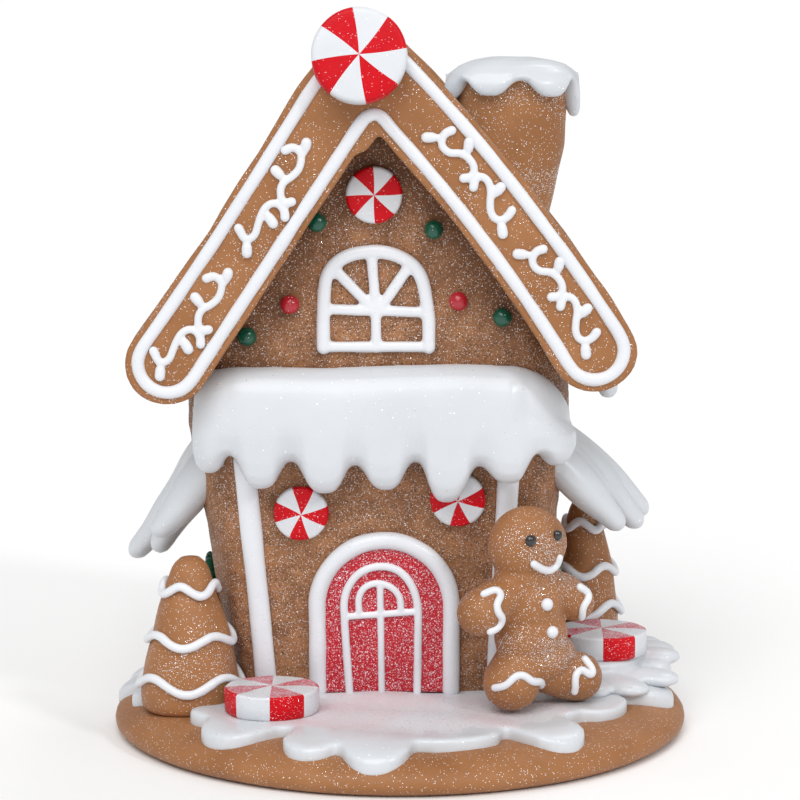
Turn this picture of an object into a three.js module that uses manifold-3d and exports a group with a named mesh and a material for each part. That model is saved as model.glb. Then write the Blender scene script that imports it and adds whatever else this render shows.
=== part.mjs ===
// Gingerbread house decoration on its round gingerbread base.
// Units are millimetres, +Z is up, the front faces -Y, and the origin is the centre of the base's underside.
import * as THREE from "three";
import { mergeVertices } from "three/addons/utils/BufferGeometryUtils.js";
import Module from "manifold-3d";

const wasm = await Module();
wasm.setup();

// ---------------------------------------------------------------- driving dimensions

const CONTACT_GAP = 0.3; // clearance between pieces that touch on curved or turned faces

const BASE = { radius: 93, thick: 11, foot: 89, flat: 78, waist: 4, rimSteps: 4, segments: 40 };
const GROUND = { thick: 3.5, columns: 60, lip: 3, plateau: 75 };
const GROUND_TOP = BASE.thick + GROUND.thick;
const MOUND = { x: 66, y: 14, halfX: 18.5, halfY: 31, thick: 8, lobes: 9, lobeDepth: 0.055, columns: 32 };

// Edge of the ground icing: bearing from the front in degrees (towards +X), and radius from the centre.
const ICING_EDGE = [
  [-176, 84], [-166, 76], [-156, 85], [-146, 77], [-136, 86], [-126, 78], [-116, 87], [-106, 79],
  [-97, 89], [-90, 84], [-84, 89], [-78, 82], [-70, 87], [-62, 77], [-54, 80], [-48, 75], [-37, 92],
  [-30, 76], [-19, 91], [-13, 76], [-5, 94], [3.5, 74], [14, 81], [26, 69], [34, 92], [50, 73],
  [58, 64], [66, 80], [74, 73], [84, 89], [95, 84], [106, 88], [117, 79], [128, 87], [138, 78],
  [148, 86], [158, 77], [168, 85],
];

// House walls: height, half width of the flat front, and width of each rounded corner.
const WALL_PROFILE = [
  { z: GROUND_TOP, flat: 41, corner: 4 },
  { z: 36, flat: 42.2, corner: 7.5 },
  { z: 70, flat: 44.5, corner: 12 },
  { z: 100, flat: 46.5, corner: 15.2 },
];
const HOUSE = {
  centreX: -5, leanX: -0.02, // the handmade house leans a little to its left
  frontY: -20, frontLean: 0.105, backY: 44, backLean: 0.09,
  cornerDepth: 24, leanTop: 100, top: 215, cornerSteps: 4,
};

// Roof: centre lines of the two legs of the gable band, seen from the front as (x, z).
const ROOF = {
  ridge: [-10, 216.5], leftEave: [-71.2, 124], rightEave: [59.5, 128], rightBow: [29.3, 176.8],
  bandHalf: 13, bandThick: 9, bandBevel: 1.5, frontY: -46, backY: 67,
  slabOuter: 3, slabInner: -9, wallGap: 1, slabEnd: 1.03, bowSteps: 3,
  snowTop: 8.5, crown: 226, crownDown: 0.07, snowWrap: 0.055, snowScallop: 0.035, scallops: 5, snowRings: 16,
};
const PIPING = { offset: 9.6, radius: 1.8, sides: 5, start: 0.11, endSteps: 5, steps: 36 };
const VINE = { radius: 1.25, sides: 4 };
// The trailing vines, two on each leg, in leg coordinates: distance down the slope, then towards the outer edge.
const VINES = {
  left: {
    places: [0.455, 0.872],
    strokes: [
      [[-14, 5.5], [-16, 3], [-15.2, 0.5], [-11.5, -1], [-6.5, 0.4], [-3.2, 0.3], [-0.4, -3], [-2, -4.6]],
      [[3, -5.5], [0.8, -2], [1.6, 0], [5, 1.1], [9, 0.2], [14, -0.4], [15.2, 1], [13.6, 4.4]],
      [[-0.8, -3.2], [1, -1.8]], [[-19.4, 1.4], [-15, 0.2]], [[-7.3, 4.6], [-6.5, 0]],
      [[6.6, -3.5], [5, 1.2]], [[18.5, -1.8], [14, -0.3]],
    ],
  },
  right: {
    places: [0.43, 0.83],
    strokes: [
      [[-15.3, 4], [-15.6, 1], [-13, -1.2], [-10, -0.3], [-6.8, 2.6], [-3.2, 2.6], [-0.8, -0.3], [-1.8, -2.2]],
      [[2.2, -1.6], [0.4, 0.6], [2.2, 2.8], [6, 2], [10, -1.4], [14, -2.5], [15.8, -0.2], [15, 3]],
      [[-1, -0.5], [0.6, 0.8]], [[-18.5, -3.2], [-13.8, -0.9]], [[-9.2, 5.9], [-6.6, 2.2]],
      [[7.4, 4.8], [8, 0]], [[18.8, -3.5], [14, -2.3]],
    ],
  },
};

const CHIMNEY = { x: 36.5, y: 25, foot: [13, 12], mouth: [18, 15.5], top: 206, flare: 178, points: 20 };
const CHIMNEY_SNOW = { half: [21.5, 19], dome: 8, drip: 9, lobes: 7, columns: 28 };

const CANDY = { edge: 1.2, facets: [12, 18], largeFrom: 12 };
const CANDIES = [
  { name: "candy_top", radius: 14.6, thick: 8, at: [-12.6, -54.4, 217.3], tiltX: -0.31 },
  { name: "candy_gable", radius: 8.8, thick: 4.6, onWall: [-8, 174.6] },
  { name: "candy_wall_left", radius: 8.7, thick: 4, onWall: [-31.1, 74.6] },
  { name: "candy_wall_right", radius: 8.7, thick: 4, onWall: [18.2, 79.1] },
  { name: "candy_ground_left", radius: 14.8, thick: 8, flatOn: [-40, -43.4, GROUND_TOP] },
  { name: "candy_ground_right", radius: 14.8, thick: 8, flatOn: [66, 2, GROUND_TOP + MOUND.thick] },
];

const PEARL = { radius: 2.8, across: 7, down: 5 };
const PEARLS = [
  { name: "pearl_green_upper_left", x: -25.6, z: 166 },
  { name: "pearl_green_upper_right", x: 10.5, z: 163.8 },
  { name: "pearl_red_left", x: -34.1, z: 140.5 },
  { name: "pearl_red_right", x: 18.3, z: 141.5 },
  { name: "pearl_green_lower_left", x: -47.5, z: 130.5 },
  { name: "pearl_green_lower_right", x: 31.9, z: 136.5 },
];

const WINDOW = { x: -7.8, sill: 125, half: 18.3, headHalf: 15.4, shoulder: 147, top: 160, lintel: 139, bar: 4, thick: 3.2 };
const DOOR = {
  x: -5, sill: GROUND_TOP + 0.6, spring: 44.4, half: 24, frame: 5.6, frameThick: 5.4, panelThick: 2, icingHalf: 12.6,
  icingFoot: 11, icingTop: 60, line: 2.4, icingThick: 2.2, barZ: 42.5, archHalf: 7.4,
};
const STRIP = { width: 6.3, thick: 2.6, foot: GROUND_TOP + 0.4, top: 92 };

// Snow awnings. Drip tips are given along the wall from -1 (left corner) to 1 (right corner).
const AWNING = { gap: 1, top: 121, root: 97, out: 13, reach: 0.88, tip: 84, notch: 93, columnsPerDrip: 4 };
const FRONT_DRIPS = [-0.84, -0.57, -0.27, 0.02, 0.29, 0.57, 0.84];
const BACK_DRIPS = [-0.8, -0.5, -0.2, 0.1, 0.42, 0.76];
const WING = { thick: 10.5, bevel: 2.2, length: 48, startY: -14, rootZ: 96, inset: 9 };
const WINGS = [
  { name: "awning_left", side: -1, slope: 56, runs: [25, 30, 40] },
  { name: "awning_right", side: 1, slope: 44, runs: [27, 33, 33] },
];

const TREES = [
  { name: "tree_left", x: -67.2, y: -24.6, foot: BASE.thick, radius: 16, height: 48 },
  { name: "tree_right", x: 61.5, y: 31.5, foot: GROUND_TOP + MOUND.thick, radius: 12, height: 46 },
];
const TREE = { segments: 14, waves: [0.2, 0.47, 0.74], waveRadius: 1.3, waveDepth: 2.4, waveCount: 4, steps: 16 };
// Tree outline from the foot up: share of the foot radius, share of the height.
const TREE_OUTLINE = [[0.92, 0], [1, 0.05], [1, 0.16], [0.87, 0.4], [0.62, 0.68], [0.45, 0.88], [0.24, 0.975]];

const MAN = {
  x: 45.2, y: -37.6, turn: 0.576, lean: -0.1,
  head: { z: 51.5, radii: [12.4, 10.3, 11.4] }, torso: { z: 30, radii: [12, 8.8, 16.5] },
  arm: { from: [6, 36], to: [18, 32], radius: 6.4 }, leg: { from: [5, 16], to: [12.4, 8], radius: 7.8 },
  eyeAngle: 0.4, eyeUp: 1.6, eyeRadius: 1.9, buttonRadius: 2.1, buttons: [31.5, 22.5],
  icingRadius: 1.35, sides: 4,
};

const WREATH = { radius: 8.5, tube: 2.6, around: 13, sides: 5, y: 5, z: 44 };

// ---------------------------------------------------------------- finishes

const finish = (color, roughness) => ({ color, roughness });
const GINGERBREAD = finish(0xb07840, 0.6);
const WALL_BREAD = finish(0xa06a3c, 0.7);
const ICING = finish(0xeceef2, 0.4);
const RED_SUGAR = finish(0xc0202c, 0.45);
const GREEN_SUGAR = finish(0x0c6048, 0.4);
const BLACK_BEAD = finish(0x15171a, 0.25);

const house = new THREE.Group();

function place(name, geometry, look, settings = {}) {
  const material = new THREE.MeshStandardMaterial({ color: look.color, roughness: look.roughness, metalness: 0 });
  const mesh = new THREE.Mesh(geometry, material);
  mesh.name = name;
  if (settings.at) mesh.position.set(...settings.at);
  if (settings.turn) mesh.rotation.set(...settings.turn);
  (settings.parent ?? house).add(mesh);
  return mesh;
}

// ---------------------------------------------------------------- solid helpers

function facingOut(geometry) {
  const position = geometry.attributes.position;
  const index = geometry.index.array;
  const [a, b, c] = [new THREE.Vector3(), new THREE.Vector3(), new THREE.Vector3()];
  let volume = 0;
  for (let i = 0; i < index.length; i += 3) {
    a.fromBufferAttribute(position, index[i]);
    b.fromBufferAttribute(position, index[i + 1]);
    c.fromBufferAttribute(position, index[i + 2]);
    volume += a.dot(b.cross(c));
  }
  if (volume > 0) return geometry;
  const flipped = [];
  for (let i = 0; i < index.length; i += 3) flipped.push(index[i], index[i + 2], index[i + 1]);
  geometry.setIndex(flipped);
  return geometry;
}

// Triangles over a flat ring, as triples of its own point numbers that turn the way the ring does.
function capTriangles(ring) {
  const normal = new THREE.Vector3();
  ring.forEach((point, i) => normal.add(new THREE.Vector3().crossVectors(point, ring[(i + 1) % ring.length])));
  const across = ring[1].clone().sub(ring[0]).normalize();
  const along = normal.normalize().clone().cross(across);
  const flat = ring.map((point) => new THREE.Vector2(point.dot(across), point.dot(along)));
  const turn = ([a, b, c]) => flat[b].clone().sub(flat[a]).cross(flat[c].clone().sub(flat[a]));
  return THREE.ShapeUtils.triangulateShape(flat, []).map((face) => (turn(face) > 0 ? face : face.toReversed()));
}

// Skins a row of rings that all have the same number of points; a closed row joins its ends, an open row is capped.
function loft(rings, closed = false) {
  const count = rings[0].length;
  const positions = rings.flat().flatMap((point) => [point.x, point.y, point.z]);
  const index = [];
  const spans = closed ? rings.length : rings.length - 1;
  for (let r = 0; r < spans; r++) {
    const here = r * count;
    const next = ((r + 1) % rings.length) * count;
    for (let i = 0; i < count; i++) {
      const j = (i + 1) % count;
      index.push(here + i, here + j, next + j, here + i, next + j, next + i);
    }
  }
  if (!closed) {
    for (const [a, b, c] of capTriangles(rings[0])) index.push(a, c, b);
    const start = (rings.length - 1) * count;
    for (const [a, b, c] of capTriangles(rings.at(-1))) index.push(start + a, start + b, start + c);
  }
  const geometry = new THREE.BufferGeometry();
  geometry.setAttribute("position", new THREE.Float32BufferAttribute(positions, 3));
  geometry.setIndex(index);
  return facingOut(geometry);
}

// A piped line: round section along a smooth curve through the points, with blunt domed ends unless it closes.
function piped(points, radius, sides, steps, closed = false) {
  const curve = new THREE.CatmullRomCurve3(points, closed, "centripetal");
  const frames = curve.computeFrenetFrames(steps, closed);
  const rings = [];
  const last = closed ? steps - 1 : steps;
  for (let i = 0; i <= last; i++) {
    const centre = curve.getPointAt(i / steps);
    const end = !closed && (i === 0 || i === steps);
    const reach = end ? radius * 0.6 : radius;
    rings.push(Array.from({ length: sides }, (_, k) => {
      const angle = ((k + 0.5) / sides) * 2 * Math.PI;
      return centre.clone()
        .addScaledVector(frames.normals[i], Math.cos(angle) * reach)
        .addScaledVector(frames.binormals[i], Math.sin(angle) * reach);
    }));
  }
  return loft(rings, closed);
}

// A flat piece drawn as (x, z) that stands upright, its back on y = 0 and its face towards -Y.
function upright(shape, thick, bevel = 0, curveSegments = 5) {
  const options = { depth: thick - 2 * bevel, bevelEnabled: bevel > 0, curveSegments };
  if (bevel > 0) Object.assign(options, { bevelThickness: bevel, bevelSize: bevel, bevelOffset: -bevel, bevelSegments: 1 });
  const geometry = new THREE.ExtrudeGeometry(shape, options);
  geometry.translate(0, 0, bevel);
  return geometry.rotateX(Math.PI / 2);
}

function toSolid(geometry) {
  const plain = geometry.clone();
  plain.deleteAttribute("normal");
  plain.deleteAttribute("uv");
  const merged = mergeVertices(plain, 1e-4);
  return new wasm.Manifold(new wasm.Mesh({
    numProp: 3,
    vertProperties: new Float32Array(merged.attributes.position.array),
    triVerts: new Uint32Array(merged.index.array),
  }));
}

function toGeometry(solid) {
  const mesh = solid.getMesh();
  const geometry = new THREE.BufferGeometry();
  geometry.setAttribute("position", new THREE.Float32BufferAttribute(mesh.vertProperties, 3));
  geometry.setIndex(new THREE.Uint32BufferAttribute(mesh.triVerts, 1));
  return geometry;
}

const joined = (geometries) => toGeometry(geometries.map(toSolid).reduce((whole, piece) => whole.add(piece)));
const carved = (geometry, ...cutters) =>
  toGeometry(cutters.reduce((whole, cutter) => whole.subtract(toSolid(cutter)), toSolid(geometry)));

// ---------------------------------------------------------------- walls of the house

function wallSize(z) {
  const rows = WALL_PROFILE;
  const height = THREE.MathUtils.clamp(z, rows[0].z, rows.at(-1).z);
  const upper = Math.max(1, rows.findIndex((row) => row.z >= height));
  const share = (height - rows[upper - 1].z) / (rows[upper].z - rows[upper - 1].z);
  return {
    flat: THREE.MathUtils.lerp(rows[upper - 1].flat, rows[upper].flat, share),
    corner: THREE.MathUtils.lerp(rows[upper - 1].corner, rows[upper].corner, share),
  };
}

const wallCentre = (z) => HOUSE.centreX + HOUSE.leanX * (z - GROUND_TOP);
const leanHeight = (z) => Math.min(z, HOUSE.leanTop) - GROUND_TOP;
const frontWallY = (z) => HOUSE.frontY - HOUSE.frontLean * leanHeight(z);
const backWallY = (z) => HOUSE.backY + HOUSE.backLean * leanHeight(z);

// A point on the wall: along runs from -1 to 1 over the face and both its rounded corners.
const FACE_SHARE = 0.7;
function wallPoint(along, z, offset, back = false) {
  const { flat, corner } = wallSize(z);
  const side = Math.sign(along);
  const bend = (Math.max(0, Math.abs(along) - FACE_SHARE) / (1 - FACE_SHARE)) * (Math.PI / 2);
  const across = bend > 0 ? flat + corner * Math.sin(bend) : (Math.abs(along) / FACE_SHARE) * flat;
  const deep = HOUSE.cornerDepth * (1 - Math.cos(bend));
  const normal = new THREE.Vector2(side * Math.sin(bend) / corner, -Math.cos(bend) / HOUSE.cornerDepth).normalize();
  const x = wallCentre(z) + side * across + normal.x * offset;
  const y = deep + normal.y * offset;
  return new THREE.Vector3(x, back ? backWallY(z) - y : frontWallY(z) + y, z);
}

function wallRing(z, offset) {
  const bends = Array.from({ length: HOUSE.cornerSteps + 1 }, (_, i) => 1 - ((1 - FACE_SHARE) * i) / HOUSE.cornerSteps);
  const stations = [...bends.map((along) => -along), ...bends.reverse()];
  const front = stations.map((along) => wallPoint(along, z, offset));
  const back = stations.reverse().map((along) => wallPoint(along, z, offset, true));
  return [...front, ...back];
}

function wallBlock(offset) {
  const levels = [...WALL_PROFILE.map((row) => row.z), HOUSE.top];
  return loft(levels.map((z) => wallRing(z, offset)));
}

// ---------------------------------------------------------------- roof geometry

// A point of a roof leg: down is 0 at the ridge and 1 at the eave, out is the distance outwards from the centre line.
function legPoint(side, down, out) {
  const start = new THREE.Vector2(...ROOF.ridge);
  const end = new THREE.Vector2(...(side < 0 ? ROOF.leftEave : ROOF.rightEave));
  const middle = side < 0 ? start.clone().lerp(end, 0.5) : new THREE.Vector2(...ROOF.rightBow);
  const [a, b, c] = [(1 - down) ** 2, 2 * down * (1 - down), down ** 2];
  const point = start.clone().multiplyScalar(a).addScaledVector(middle, b).addScaledVector(end, c);
  const tangent = middle.clone().sub(start).multiplyScalar(2 * (1 - down));
  tangent.addScaledVector(end.clone().sub(middle), 2 * down).normalize();
  return point.addScaledVector(new THREE.Vector2(-tangent.y, tangent.x).multiplyScalar(-side * -1), out);
}

function downAtX(side, out, x) {
  let [low, high] = [-0.6, 1.4];
  for (let i = 0; i < 40; i++) {
    const middle = (low + high) / 2;
    if (side * (legPoint(side, middle, out).x - x) < 0) low = middle;
    else high = middle;
  }
  return (low + high) / 2;
}

// Points along a leg at one distance out; the left leg is straight, so its two ends are enough.
function legRow(side, out, from, to, steps = side < 0 ? 1 : ROOF.bowSteps) {
  return Array.from({ length: steps + 1 }, (_, i) => legPoint(side, from + ((to - from) * i) / steps, out));
}

// Everything under one roof leg, as a block wider and deeper than the house.
function belowRoof(side) {
  const reach = 2 * BASE.radius;
  const edge = legRow(side, ROOF.slabInner - ROOF.wallGap, -0.4, 1.3, 8);
  const outline = [
    ...edge, new THREE.Vector2(side * reach, edge.at(-1).y), new THREE.Vector2(side * reach, 0),
    new THREE.Vector2(-side * reach, 0), new THREE.Vector2(-side * reach, edge[0].y),
  ];
  return upright(new THREE.Shape(outline), 2 * reach).translate(0, reach, 0);
}

function houseBody() {
  const walls = toSolid(wallBlock(0));
  const left = toSolid(belowRoof(-1));
  const right = toSolid(belowRoof(1));
  return toGeometry(walls.intersect(left).intersect(right));
}

const bandBackY = ROOF.frontY + ROOF.bandThick;
const slabFrontY = bandBackY + CONTACT_GAP;
const slabBackY = ROOF.backY - ROOF.bandThick - CONTACT_GAP;

function roofSlab(side) {
  const ridgeX = ROOF.ridge[0] + side * CONTACT_GAP / 2;
  const outer = legRow(side, ROOF.slabOuter, downAtX(side, ROOF.slabOuter, ridgeX), ROOF.slabEnd);
  const inner = legRow(side, ROOF.slabInner, downAtX(side, ROOF.slabInner, ridgeX), ROOF.slabEnd);
  const shape = new THREE.Shape([...outer, ...inner.reverse()]);
  return upright(shape, slabBackY - slabFrontY).translate(0, slabBackY, 0);
}

function roofSnow(side) {
  const ridgeX = ROOF.ridge[0] + side * CONTACT_GAP / 2;
  const under = ROOF.slabOuter + CONTACT_GAP;
  const end = ROOF.slabEnd + 0.004;
  const outer = [new THREE.Vector2(ridgeX, ROOF.crown), ...legRow(side, ROOF.snowTop, ROOF.crownDown, ROOF.slabEnd)];
  const inner = legRow(side, under, downAtX(side, under, ridgeX), end).reverse();
  const rings = Array.from({ length: ROOF.snowRings }, (_, i) => {
    const share = i / (ROOF.snowRings - 1);
    const y = slabFrontY + (slabBackY - slabFrontY) * share;
    const reach = ROOF.snowWrap + ROOF.snowScallop * Math.abs(Math.sin(share * Math.PI * ROOF.scallops));
    const hem = [[reach, 5], [reach, 0], [reach * 0.85, -6], [0.004, -6]];
    const edge = hem.map(([down, out]) => legPoint(side, ROOF.slabEnd + down, out));
    return [...outer, ...edge, ...inner].map((point) => new THREE.Vector3(point.x, y, point.y));
  });
  return loft(rings);
}

function bandLeg(side) {
  const half = ROOF.bandHalf;
  const outer = legRow(side, half, 0, 1);
  const inner = legRow(side, -half, 0, 1).reverse();
  const end = legPoint(side, 1, 0);
  const start = outer.at(-1).clone().sub(end).angle();
  const round = Array.from({ length: 5 }, (_, i) => {
    const angle = start - (side * Math.PI * (i + 1)) / 6;
    return new THREE.Vector2(end.x + half * Math.cos(angle), end.y + half * Math.sin(angle));
  });
  const ridge = legPoint(side, 0, 0);
  const crown = new THREE.Vector2(ridge.x, ridge.y + half * 0.98);
  return new THREE.Shape([crown, ...outer, ...round, ...inner]);
}

function gableBand() {
  return joined([-1, 1].map((side) => upright(bandLeg(side), ROOF.bandThick, ROOF.bandBevel)));
}

// One line of icing just inside the band's edge. Both its ends lie under the sweet at the ridge.
function pipingLoop() {
  const offset = PIPING.offset;
  const path = [];
  for (const side of [-1, 1]) {
    const outer = legRow(side, offset, PIPING.start, 1, 4);
    const inner = legRow(side, -offset, downAtX(side, -offset, ROOF.ridge[0]) + 0.03, 1, 4);
    const end = legPoint(side, 1, 0);
    const start = outer.at(-1).clone().sub(end).angle();
    const round = Array.from({ length: PIPING.endSteps - 1 }, (_, i) => {
      const angle = start - (side * Math.PI * (i + 1)) / PIPING.endSteps;
      return new THREE.Vector2(end.x + offset * Math.cos(angle), end.y + offset * Math.sin(angle));
    });
    const leg = [...outer, ...round, ...inner.reverse()];
    path.push(...(side < 0 ? leg : leg.reverse()));
  }
  const points = path.map((point) => new THREE.Vector3(point.x, 0, point.y));
  return piped(points, PIPING.radius, PIPING.sides, PIPING.steps);
}

function vine(side, down, strokes) {
  const centre = legPoint(side, down, 0);
  const slope = legPoint(side, down + 0.01, 0).sub(centre).normalize();
  const outward = legPoint(side, down, 1).sub(centre);
  return joined(strokes.map((stroke) => {
    const points = stroke.map(([a, d]) => {
      const spot = centre.clone().addScaledVector(slope, a).addScaledVector(outward, d);
      return new THREE.Vector3(spot.x, 0, spot.y);
    });
    return piped(points, VINE.radius, VINE.sides, points.length - 1);
  }));
}

// ---------------------------------------------------------------- base, ground icing and mound

function baseTopAt(radius) {
  if (radius <= BASE.flat) return BASE.thick;
  const share = Math.min(1, (radius - BASE.flat) / (BASE.radius - BASE.flat));
  return BASE.waist + (BASE.thick - BASE.waist) * Math.sqrt(1 - share ** 2);
}

// The base is turned like a plate: a flat foot, a broad rounded rim and a flat top.
function base(grow = 0) {
  const rim = Array.from({ length: BASE.rimSteps + 1 }, (_, i) => {
    const angle = (i / BASE.rimSteps) * (Math.PI / 2);
    return new THREE.Vector2(
      BASE.flat + grow + (BASE.radius - BASE.flat) * Math.cos(angle),
      BASE.waist + (BASE.thick - BASE.waist) * Math.sin(angle),
    );
  });
  const profile = [new THREE.Vector2(0, 0), new THREE.Vector2(BASE.foot, 0), ...rim, new THREE.Vector2(0, BASE.thick)];
  return new THREE.LatheGeometry(profile, BASE.segments).rotateX(Math.PI / 2);
}

function icingEdge(bearing) {
  const rows = ICING_EDGE;
  let next = rows.findIndex(([angle]) => angle > bearing);
  if (next < 0) next = 0;
  const previous = (next + rows.length - 1) % rows.length;
  const turn = (value) => ((value % 360) + 360) % 360;
  const share = turn(bearing - rows[previous][0]) / turn(rows[next][0] - rows[previous][0]);
  const ease = (1 - Math.cos(share * Math.PI)) / 2;
  return THREE.MathUtils.lerp(rows[previous][1], rows[next][1], ease);
}

function groundIcing() {
  const bearings = Array.from({ length: GROUND.columns }, (_, i) => -180 + (360 * i) / GROUND.columns);
  const ring = (inset, lift, furthest = BASE.radius - 0.6) => bearings.map((bearing) => {
    const radius = Math.min(icingEdge(bearing) - inset, furthest);
    const angle = THREE.MathUtils.degToRad(bearing);
    return new THREE.Vector3(radius * Math.sin(angle), -radius * Math.cos(angle), baseTopAt(radius) + lift);
  });
  const { thick, lip, plateau } = GROUND;
  const block = loft([
    ring(0.6, -1.2), ring(0, thick * 0.45), ring(lip, thick * 0.92), ring(2.6 * lip, thick, plateau),
  ]);
  const tree = TREES[0];
  const pit = new THREE.CylinderGeometry(tree.radius + CONTACT_GAP, tree.radius + CONTACT_GAP, 20, TREE.segments);
  pit.rotateX(Math.PI / 2).translate(tree.x, tree.y, BASE.thick + 5);
  return carved(block, base(CONTACT_GAP), pit);
}

function mound() {
  const ring = (scale, z) => Array.from({ length: MOUND.columns }, (_, i) => {
    const angle = (i / MOUND.columns) * 2 * Math.PI;
    const swell = scale * (1 + MOUND.lobeDepth * Math.cos(MOUND.lobes * angle));
    return new THREE.Vector3(MOUND.halfX * swell * Math.cos(angle), MOUND.halfY * swell * Math.sin(angle), z);
  });
  const block = loft([ring(1, 0), ring(1.03, 5), ring(0.92, MOUND.thick)]);
  block.translate(MOUND.x, MOUND.y, GROUND_TOP);
  return carved(block, wallBlock(CONTACT_GAP));
}

// ---------------------------------------------------------------- trim on the front wall

const wallTilt = (z) => (z < HOUSE.leanTop ? Math.atan(HOUSE.frontLean) : 0);
const onFront = (x, z, gap = CONTACT_GAP) => ({ at: [x, frontWallY(z) - gap, z], turn: [wallTilt(z), 0, 0] });

// An arch drawn as (x, z) from its foot at z = 0: straight legs that may splay, then a half round on top.
function archShape(half, footHalf, spring) {
  const shape = new THREE.Shape();
  shape.moveTo(-footHalf, 0);
  shape.lineTo(footHalf, 0);
  shape.lineTo(half, spring);
  shape.absarc(0, spring, half, 0, Math.PI, false);
  shape.closePath();
  return shape;
}

// The same arch as an open band of one width, without a sill.
function archBand(half, footHalf, spring, width) {
  const shape = new THREE.Shape();
  const inner = half - width;
  shape.moveTo(-footHalf, 0);
  shape.lineTo(-half, spring);
  shape.absarc(0, spring, half, Math.PI, 0, true);
  shape.lineTo(footHalf, 0);
  shape.lineTo(footHalf - width, 0);
  shape.lineTo(inner, spring);
  shape.absarc(0, spring, inner, 0, Math.PI, false);
  shape.lineTo(width - footHalf, 0);
  shape.closePath();
  return shape;
}

// A straight bar of one width between two points.
function barShape([fromX, fromZ], [toX, toZ], width) {
  const start = new THREE.Vector2(fromX, fromZ);
  const end = new THREE.Vector2(toX, toZ);
  const edge = end.clone().sub(start).normalize().multiplyScalar(width / 2).rotateAround(new THREE.Vector2(), Math.PI / 2);
  return new THREE.Shape([start.clone().sub(edge), end.clone().sub(edge), end.clone().add(edge), start.clone().add(edge)]);
}

const pressed = (shapes, thick) => joined(shapes.map((shape) => upright(shape, thick)));

function doorFrame() {
  return upright(archBand(DOOR.half, DOOR.half, DOOR.spring - DOOR.sill, DOOR.frame), DOOR.frameThick, 1);
}

function doorPanel() {
  const inner = DOOR.half - DOOR.frame - CONTACT_GAP;
  return upright(archShape(inner, inner, DOOR.spring - DOOR.sill), DOOR.panelThick);
}

function doorIcing() {
  const { line, icingHalf, icingFoot, archHalf } = DOOR;
  const spring = DOOR.icingTop - icingHalf - DOOR.sill;
  const bar = DOOR.barZ - DOOR.sill;
  const smallArch = archBand(archHalf, archHalf, 3.5, line);
  const small = upright(smallArch, DOOR.icingThick).translate(0, 0, bar);
  const rest = pressed([
    archBand(icingHalf, icingFoot, spring, line),
    barShape([-icingHalf + 1, bar], [icingHalf - 1, bar], line),
    barShape([0, 0], [0, bar + archHalf + 2], line),
  ], DOOR.icingThick);
  return joined([rest, small]);
}

function atticWindow() {
  const { half, headHalf, bar } = WINDOW;
  const shoulder = WINDOW.shoulder - WINDOW.sill;
  const top = WINDOW.top - WINDOW.sill;
  const outline = (inset) => {
    const shape = new THREE.Shape();
    const [side, head] = [half - inset, headHalf - inset * 0.6];
    shape.moveTo(-side, inset);
    shape.lineTo(side, inset);
    shape.lineTo(side - 1, shoulder - 6);
    shape.quadraticCurveTo(head, top - inset - 1, 0, top - inset);
    shape.quadraticCurveTo(-head, top - inset - 1, 1 - side, shoulder - 6);
    shape.closePath();
    return shape;
  };
  const frame = outline(0);
  frame.holes.push(outline(bar));
  const lintel = WINDOW.lintel - WINDOW.sill;
  return pressed([
    frame,
    barShape([-half + 1.5, lintel], [half - 1.5, lintel], bar),
    barShape([0, bar / 2], [0, top - bar / 2], bar),
    barShape([-1, lintel], [-headHalf + 4, shoulder + 5.5], bar * 0.8),
    barShape([1, lintel], [headHalf - 4, shoulder + 5.5], bar * 0.8),
  ], WINDOW.thick);
}

function cornerStrip(side) {
  const edgeAt = (z) => side * (wallSize(z).flat - 0.4);
  const shape = new THREE.Shape();
  const rise = STRIP.top - STRIP.foot;
  const [low, high] = [edgeAt(STRIP.foot), edgeAt(STRIP.top)];
  shape.moveTo(low, 0);
  shape.lineTo(low - side * STRIP.width, 0);
  shape.lineTo(high - side * STRIP.width, rise);
  shape.lineTo(high, rise);
  shape.closePath();
  return upright(shape, STRIP.thick, 0.8);
}

// ---------------------------------------------------------------- snow awnings

function dripLine(drips, along) {
  let best = 1;
  for (let i = 0; i + 1 < drips.length; i++) {
    if (along < drips[i] || along > drips[i + 1]) continue;
    const share = (along - drips[i]) / (drips[i + 1] - drips[i]);
    best = Math.abs(Math.cos(share * Math.PI)) ** 0.7;
  }
  return THREE.MathUtils.lerp(AWNING.notch, AWNING.tip, best);
}

// Awning section: distance out from the wall as a share, and a height that follows the drip line where asked.
function faceAwning(drips, back) {
  const columns = (drips.length - 1) * AWNING.columnsPerDrip;
  const rings = Array.from({ length: columns + 1 }, (_, i) => {
    const along = AWNING.reach * (-1 + (2 * i) / columns);
    const fade = 1 - 0.55 * THREE.MathUtils.smoothstep(Math.abs(along), 0.62, AWNING.reach);
    const tip = dripLine(drips, along);
    const top = AWNING.top - 12 * THREE.MathUtils.smoothstep(Math.abs(along), 0.7, AWNING.reach);
    const out = AWNING.out * fade;
    const section = [
      [AWNING.gap, top - 1.2], [out * 0.25, top], [out * 0.8, top - 12],
      [out, tip + 5], [out * 0.76, tip], [out * 0.48, tip + 2], [out * 0.46, AWNING.root - 1], [AWNING.gap, AWNING.root],
    ];
    return section.map(([offset, z]) => wallPoint(along, z, offset, back));
  });
  return loft(rings);
}

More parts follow.
